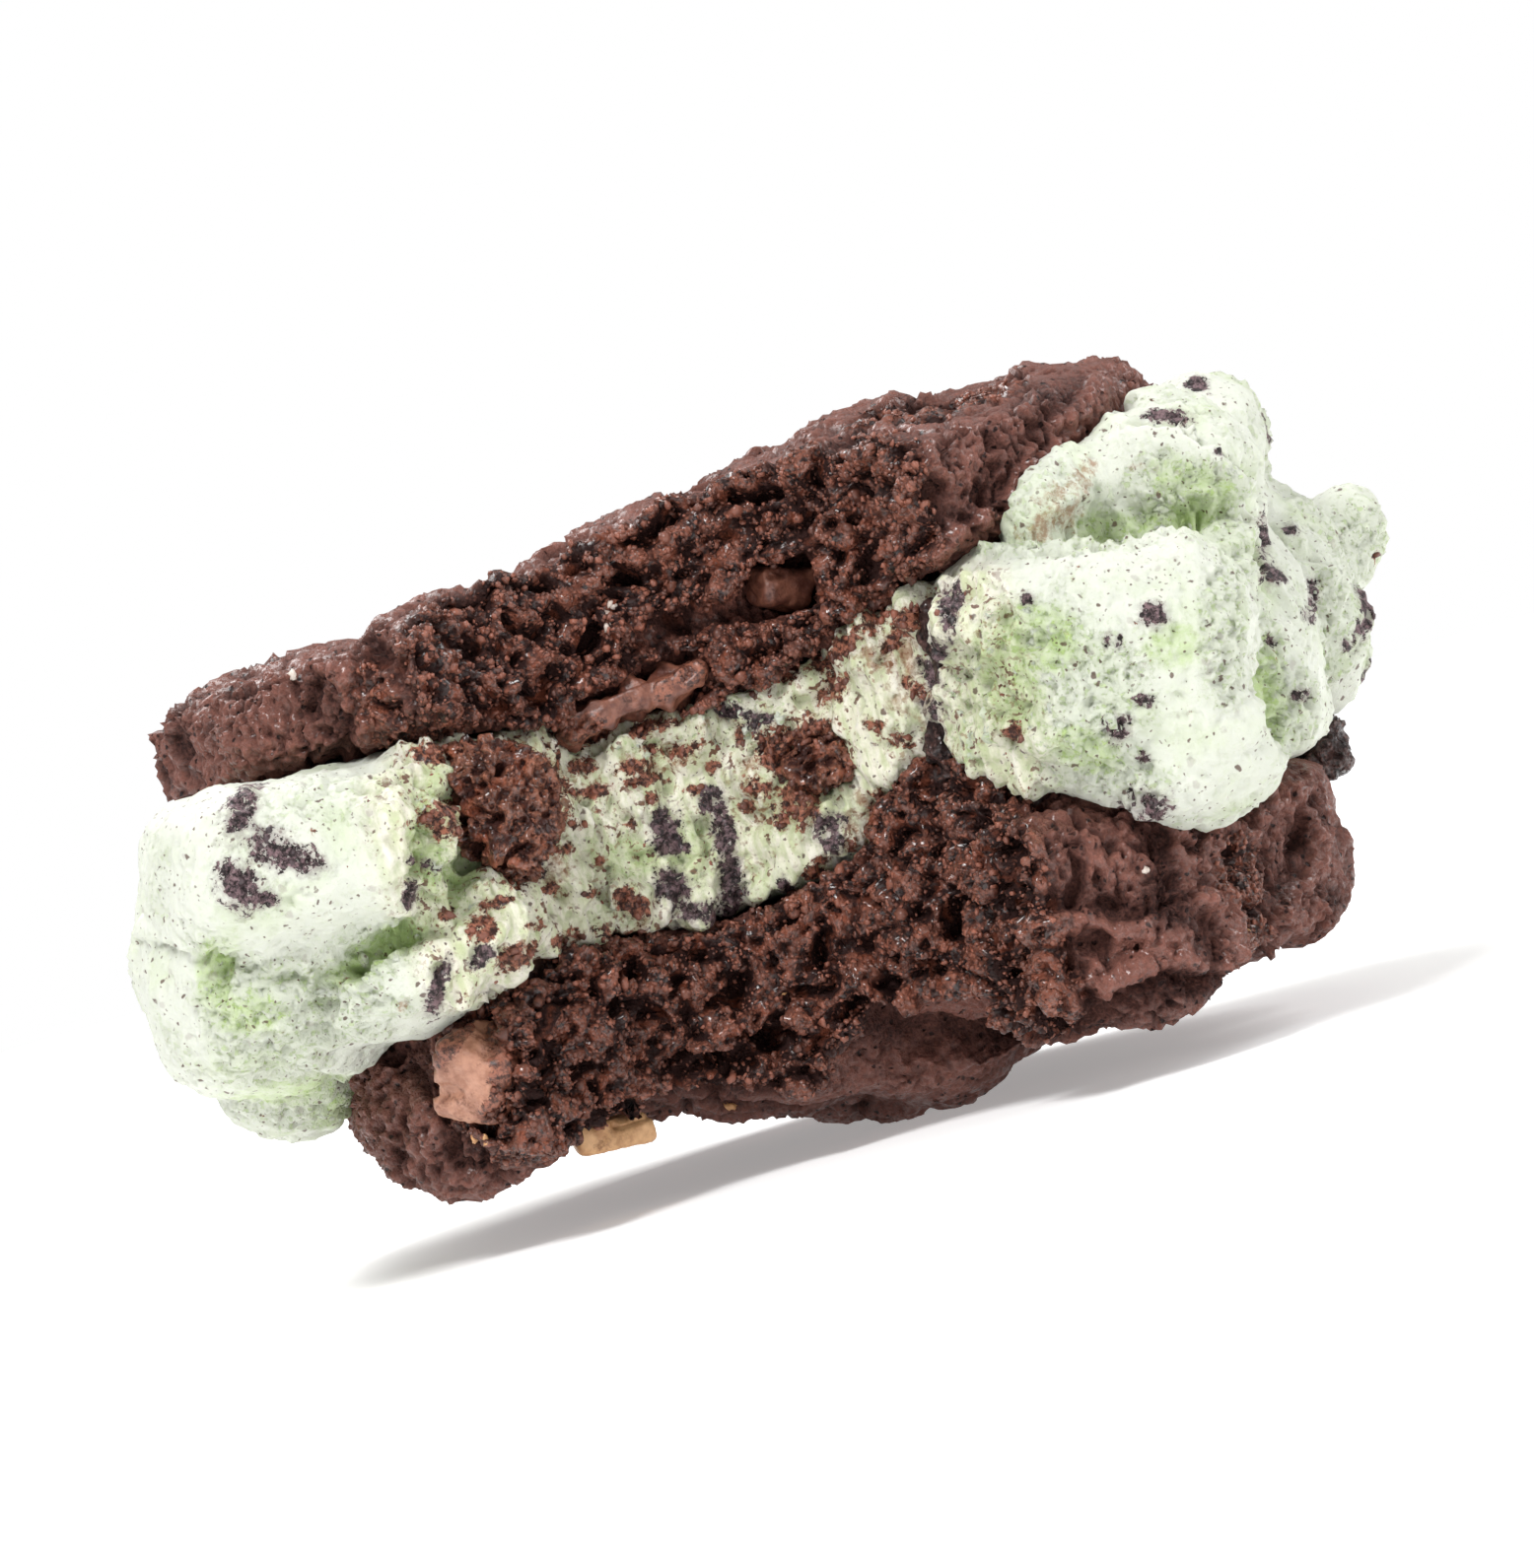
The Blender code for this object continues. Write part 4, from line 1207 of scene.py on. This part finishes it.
# %% Stains
SMEAR_PATCHES = (
    (505, 820, 12, 11, 0), (660, 770, 10, 3, 10), (690, 725, 10, 3, 0), (600, 790, 7, 3, 20),
    (790, 790, 8, 9, -60), (640, 930, 5, 5, 0), (930, 700, 8, 6, -50), (900, 660, 7, 5, 40),
    (410, 1016, 2.4, 1.0, 60), (1075, 515, 7, 4, 50), (1060, 535, 6, 2, 10), (1156, 474, 1.6, 1.2, 0),
    (1100, 480, 4, 2, 60), (560, 880, 4, 4, 0), (880, 830, 6, 6, 0),
)
ice_now = places_of(ice_skin)
store(ice_skin.data, "dark_bits", covered_by(ice_now, dark_patches, 2.0))
store(ice_skin.data, "crumbs", covered_by(ice_now, crumb_patches, 2.0))
store(ice_skin.data, "smeared", covered_by(ice_now, patches(ice_trees, SMEAR_PATCHES), 1.4))
green_patches = patches(ice_trees, GREEN_PATCHES) + patches_behind(ice_skin, 37, 8, 4, 12)
store(ice_skin.data, "green", covered_by(ice_now, green_patches, 1.8))
print(len(ice_skin.data.attributes), "attributes on the skin of the ice cream")

# %% [markdown]
# ## Finishes
#
# Chocolate crumb is a very dark red-brown with a tone of its own that varies. Its colour is also painted
# lighter on raised relief and in the middles of grains, and darker in hollows, pores and the gaps between
# grains: painted light and shade. It sparkles where fat and sugar catch the light. The crust is greyer and
# has a broad soft sheen. Two materials would meet in a hard line, so one finish holds both, and the torn
# attribute blends between them.

# %% The cookie's finish
# Tones of the crust in painted shade and in painted light, mixed with its own varying tone.
CRUST_DARK = tone(44, 23, 20)
CRUST_LIGHT = tone(167, 110, 96)


def cookie_finish(name, dark, light, rusty):
    """For cookie: dark is its crumb in painted shade, light its crumb in painted light; rusty shows in
    spots.
    """
    fixed = {"IOR": 1.45, "Coat IOR": 1.5, "Coat Roughness": 0.22, "Specular IOR Level": 0.25}
    finish = Finish(name, fixed)
    torn = finish.attribute("torn")
    raised = finish.attribute("relief").between(-1.5, 1.0)
    bent_place = finish.moved(finish.place, finish.noise_colour(0.9), 0.8)
    lumps = finish.distance(0.55, bent_place).between(0.62, 0.1)
    clumps = finish.distance(1.6, bent_place).between(0.7, 0.15)
    hollow = finish.noise(1.2, 4, 0.65).between(0.5, 0.38)
    fine = finish.noise(0.3, 4, 0.65)
    broad = finish.noise(3.5, 3, 0.6)
    # Painted light and shade: lighter on raised relief and in the middles of grains and clumps, darker in
    # the hollow noise. The fine noise is the crumb's own tone.
    crumb_tone_and_painted_shade = (raised * 0.65 + lumps * 0.4 + clumps * 0.2 + fine * 0.5 - hollow * 0.4 - 0.6).clamped()
    # Painted light and shade on the crust too: lighter where the relief stands proud and in the middles of
    # cells, darker in the pores. The fine and broad noises are its own tone.
    pores = finish.distance(1.1, bent_place).between(0.22, 0.1)
    proud = finish.attribute("relief").between(-0.9, 0.45)
    crust_tone_and_painted_shade = (proud * 0.45 + lumps * 0.12 + fine * 0.6 + broad * 0.45 - pores * 0.45 - 0.42).clamped()
    crust = finish.mix(crust_tone_and_painted_shade, CRUST_DARK, CRUST_LIGHT)
    crumb = finish.mix(crumb_tone_and_painted_shade, dark, light)
    colour = finish.mix(torn, crust, crumb)
    rust = finish.noise(1.7, 2, 0.5).between(0.52, 0.72)
    colour = finish.mix(rust * torn * 0.5, colour, rusty)
    moist = finish.noise(0.45, 3, 0.7).between(0.42, 0.56) * (raised * 1.5 - 0.2).clamped()
    height = lumps * (torn * 0.6 + 0.12) + fine * (0.95 - torn * 0.4) - pores * (1 - torn) * 0.9
    return finish.set(
        Base_Color=colour,
        Roughness=0.72 - moist * 0.36,
        Coat_Weight=moist * (torn * 0.35 + 0.65),
        Normal=finish.bump(height, 1.0, 0.45),
    )


cookie_material = cookie_finish("chocolate cookie", tone(38, 15, 11), tone(178, 110, 88), tone(138, 72, 48))
dark_material = cookie_finish("dark cookie", tone(32, 19, 18), tone(122, 90, 84), tone(88, 58, 52))
fallen_material = cookie_finish("fallen crumb", tone(54, 24, 17), tone(190, 124, 98), tone(160, 86, 58))

# %% [markdown]
# Thousands of grains with one colour look like sprinkles. The random shade that each carries on its points
# moves it between two tones, and a little noise keeps the larger ones from looking flat.


# %% The finish of grains
def grain_finish(name, dark, light, roughness):
    """For loose grains, each with a random shade on its points."""
    finish = Finish(name, {"IOR": 1.45, "Coat Weight": 0.35, "Coat Roughness": 0.2})
    shade = finish.attribute("shade")
    speck = finish.noise(0.25, 3, 0.6)
    colour = finish.mix((shade * 0.7 + speck * 0.6 - 0.15).clamped(), dark, light)
    return finish.set(
        Base_Color=colour,
        Roughness=roughness + (speck - 0.5) * 0.4,
        Normal=finish.bump(finish.noise(0.3, 4, 0.7), 0.6, 0.2),
    )


crumb_grain_material = grain_finish("cookie grains", tone(50, 23, 17), tone(148, 88, 68), 0.55)
dark_grain_material = grain_finish("dark cookie grains", tone(18, 11, 13), tone(86, 66, 70), 0.5)
pale_material = grain_finish("pale grains", tone(170, 150, 138), tone(226, 214, 204), 0.5)
tan_material = grain_finish("tan grains", tone(176, 120, 74), tone(232, 186, 134), 0.5)

# %% [markdown]
# Milk chocolate is paler and smoother than crumb, with a waxy shine where it broke and a dusty bloom where
# it rubbed against the crumb. Wax is mostly in the coat, so bloom lowers the coat and raises the
# roughness.

# %% Chocolate and peanut finishes
CRUMB_RANGE = (tone(48, 22, 16), tone(150, 94, 74))


def chocolate_finish(name, dark, light, smear, roughness):
    finish = Finish(name, {"IOR": 1.46, "Specular IOR Level": 0.5, "Coat Roughness": 0.3})
    streak = finish.noise(1.4, 4, 0.65)
    dusty = finish.noise(0.5, 4, 0.7)
    colour = finish.mix(streak.between(0.3, 0.7), dark, light)
    rubbed = (finish.noise(2.2, 4, 0.7).between(0.52, 0.66) * dusty.between(0.35, 0.6)).clamped()
    colour = finish.mix(rubbed * 0.8, colour, smear)
    crumbs = (finish.attribute("crumbs") + (finish.noise(0.9, 5, 0.7) - 0.5) * 1.6).between(0.5, 0.6)
    crumb_colour = finish.mix(finish.noise(0.4, 4, 0.7).between(0.35, 0.65), *CRUMB_RANGE)
    colour = finish.mix(crumbs, colour, crumb_colour)
    return finish.set(
        Base_Color=colour,
        Roughness=roughness + rubbed * 0.2 - streak * 0.1,
        Coat_Weight=0.2 - rubbed * 0.2,
        Normal=finish.bump(finish.noise(0.6, 5, 0.65), 0.5, 0.25),
    )


milk_material = chocolate_finish(
    "milk chocolate", tone(150, 100, 78), tone(188, 138, 114), tone(100, 58, 44), 0.45
)
melted_material = chocolate_finish(
    "melted chocolate", tone(84, 46, 36), tone(140, 90, 72), tone(54, 27, 20), 0.4
)
peanut_material = chocolate_finish(
    "peanut butter", tone(178, 128, 84), tone(222, 176, 128), tone(120, 70, 44), 0.5
)

# %% [markdown]
# Mint ice cream is nearly white with a little green, and light goes some way into it, so shadows stay
# soft. It is greener in its caves, because light that comes out of a cave went through cream more than
# once. That isn't simulated: a mix by the relief does it at no cost.

# %% The ice cream's own colour
MINT_LIGHT = tone(209, 212, 200)
# The greener, darker tone that caves, pits and rough places are painted with as shade, and that the green
# patches take.
MINT_DEEP = tone(178, 200, 134)
MINT_BITTEN_LIGHT = tone(240, 236, 220)
MINT_BITTEN_DARK = tone(206, 211, 174)


def cream(finish, rough, bite, pits):
    """The colour of the cream alone: streaked where teeth dragged it, greener and darker as painted shade
    in caves and pits.
    """
    depth = finish.attribute("relief").between(-0.6, -2.2)
    streak = finish.noise(0.9, 3, 0.6, finish.stretched((1, 1, 0.18)))
    dragged = finish.mix(streak.between(0.35, 0.62), MINT_BITTEN_DARK, MINT_BITTEN_LIGHT)
    body = finish.mix(bite, MINT_LIGHT, dragged)
    green = (finish.attribute("green") + finish.noise(0.9, 5, 0.75) * 1.4 - 0.7).between(0.3, 0.9)
    faint = finish.noise(6, 3).between(0.5, 0.75) * 0.25
    mottled = green * (finish.noise(0.7, 4, 0.7).between(0.3, 0.65) * 0.4 + 0.2)
    # Depth, pits and rough places are painted shade: the cream is greener and darker there, as light would
    # be after going through cream more than once.
    tinted = (depth * 0.4 + mottled + faint + rough * 0.1 + pits * 0.5).clamped()
    return finish.mix(tinted, body, MINT_DEEP)


# %% [markdown]
# Ground cookie in the cream leaves specks of every size. A Voronoi texture gives each of its cells a place
# and a random colour, so one of its channels can choose a share of the cells, and each chosen cell shows a
# speck at its middle. Moving the place by a noise makes the specks ragged.

# %% Specks in the cream
SPECK = tone(84, 54, 44)
BURIED = tone(158, 146, 142)
RUST = tone(104, 60, 44)
SMEAR = tone(150, 108, 76)


def speckled(finish, body, bite):
    """Specks of every size on the cream, and dust and crumbs in the bite."""
    swirl = finish.moved(finish.place, finish.noise_colour(0.8), 0.9)

    def specks(size, share, width):
        """Ragged specks in a share of the cells of a grid."""
        cell = finish.cells(size, swirl)
        split = finish.node("ShaderNodeSeparateColor", {}, {0: cell.outputs["Color"]})
        chosen = Wire(finish, split.outputs[0])
        near = Wire(finish, cell.outputs["Distance"])
        return near.between(width, width * 0.55) * chosen.between(share, share - 0.02)

    body = finish.mix(specks(1.6, 0.3, 0.26) * 0.35, body, BURIED)
    few = specks(1.0, 0.6, 0.17) + specks(1.8, 0.5, 0.17) + specks(0.65, 0.6, 0.22) * 0.7
    body = finish.mix(few.clamped() * 0.85, body, SPECK)
    busy = finish.noise(3.5, 3, 0.6).between(0.42, 0.58)
    dusty = finish.noise(0.45, 2, 0.6).between(0.56, 0.62) * busy * bite
    body = finish.mix(dusty * 0.6, body, SMEAR)
    crumbling = finish.noise(0.9, 2, 0.6).between(0.6, 0.62) * busy * bite
    return finish.mix(crumbling * 0.9, body, RUST)


# %% [markdown]
# Stains come from the attributes. Each is one soft oval on the points, so noise is added to it before a
# narrow step cuts it: the oval turns into a ragged spot with crumbs breaking off its edge. A wide step
# first lays the bleed round it.

# %% Stains on the cream
BLEED = tone(132, 118, 118)
STUCK_BROWN = (tone(50, 22, 15), tone(172, 110, 86))
STUCK_DARK = (tone(24, 15, 15), tone(124, 100, 104))


def stained(finish, body):
    """Smears, bleeding dark bits and crumbs."""
    ragged = finish.noise(0.9, 5, 0.75).between(0.32, 0.68) - 0.5
    ragged_wide = finish.noise(2.2, 4, 0.7).between(0.32, 0.68) - 0.5
    fray = ragged * 0.65 + ragged_wide * 0.75
    smeared = (finish.attribute("smeared") * 0.8 + fray * 0.9).between(0.5, 1.2)
    body = finish.mix(smeared * 0.75, body, SMEAR)
    dark = finish.attribute("dark_bits")
    body = finish.mix((dark + fray * 0.6).between(0.2, 0.8) * 0.6, body, BLEED)
    crumbs = finish.attribute("crumbs")
    body = finish.mix((crumbs + fray * 0.7).between(0.3, 0.8) * 0.6, body, SMEAR)
    grainy = finish.noise(0.5, 4, 0.75).between(0.42, 0.62)
    body = finish.mix((crumbs + fray).between(0.62, 0.68), body, finish.mix(grainy, *STUCK_BROWN))
    return finish.mix((dark + fray).between(0.68, 0.74), body, finish.mix(grainy, *STUCK_DARK))


# %% [markdown]
# The finish puts the three together. Light goes about a millimetre into the cream, which softens its
# shadows. Where teeth went through it is a little smoother. Where it was pulled apart, grit makes it bumpy.


# %% The ice cream's finish
def ice_finish(name):
    finish = Finish(
        name,
        {
            "IOR": 1.35,
            "Subsurface Weight": 0.35,
            "Subsurface Radius": (1.0, 1.0, 0.8),
            "Subsurface Scale": 0.001,
            "Coat Roughness": 0.3,
        },
    )
    rough = finish.attribute("rough")
    bite = finish.attribute("bitten")
    pits = finish.noise(0.55, 4, 0.65).between(0.54, 0.62) * (rough * 0.8 + 0.2)
    body = cream(finish, rough, bite, pits)
    body = speckled(finish, body, bite)
    body = stained(finish, body)
    grit = finish.noise(0.4, 5, 0.75) * (rough * 0.45 + bite * 0.6 + 0.4) - pits * 0.35
    return finish.set(
        Base_Color=body,
        Roughness=0.5 - bite * 0.1 + rough * 0.1,
        Coat_Weight=0.1 + bite * 0.15,
        Normal=finish.bump(grit, 1.0, 0.3),
    )


ice_material = ice_finish("mint ice cream")
print(len(bpy.data.materials), "materials")

# %% [markdown]
# Every skin stands for the solid that it covers, so the plain one is hidden. Grains replace nothing: they
# only ride along.


# %% Putting the skins on
def dress(obj, material, slot, *nodes):
    """Gives a finished piece its material, and lets it stand for the solids that it covers."""
    obj.data.materials.clear()
    obj.data.materials.append(material)
    obj.data.shade_smooth()
    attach(obj, "root")
    if nodes:
        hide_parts(*nodes)


PIECE_FINISHES = {
    "milk_chocolate_chunk": (milk_material, "milk_chocolate"),
    "melted_chocolate": (melted_material, "milk_chocolate"),
    "chocolate_chip": (melted_material, "milk_chocolate"),
    "peanut_butter_chip": (peanut_material, "peanut_butter"),
    "fallen_crumb": (fallen_material, "cookie_crumb"),
    "small_crumb": (fallen_material, "cookie_crumb"),
    "dark_cookie_side": (dark_material, "dark_cookie"),
    "dark_cookie_upper": (dark_material, "dark_cookie"),
    "dark_cookie_lower": (dark_material, "dark_cookie"),
}
dress(top_skin, cookie_material, "cookie_crumb", "top_cookie")
dress(bottom_skin, cookie_material, "cookie_crumb", "bottom_cookie")
dress(ice_skin, ice_material, "mint_ice_cream", "ice_cream")
for node, (material, slot) in PIECE_FINISHES.items():
    dress(piece_skins[node], material, slot, node)
dress(dark_obj, dark_grain_material, "dark_cookie")
dress(crumb_obj, crumb_grain_material, "cookie_crumb")
dress(fine_obj, crumb_grain_material, "cookie_crumb")
dress(ice_grain_obj, ice_material, "mint_ice_cream")
dress(pale_obj, pale_material, "peanut_butter")
dress(tan_obj, tan_material, "peanut_butter")
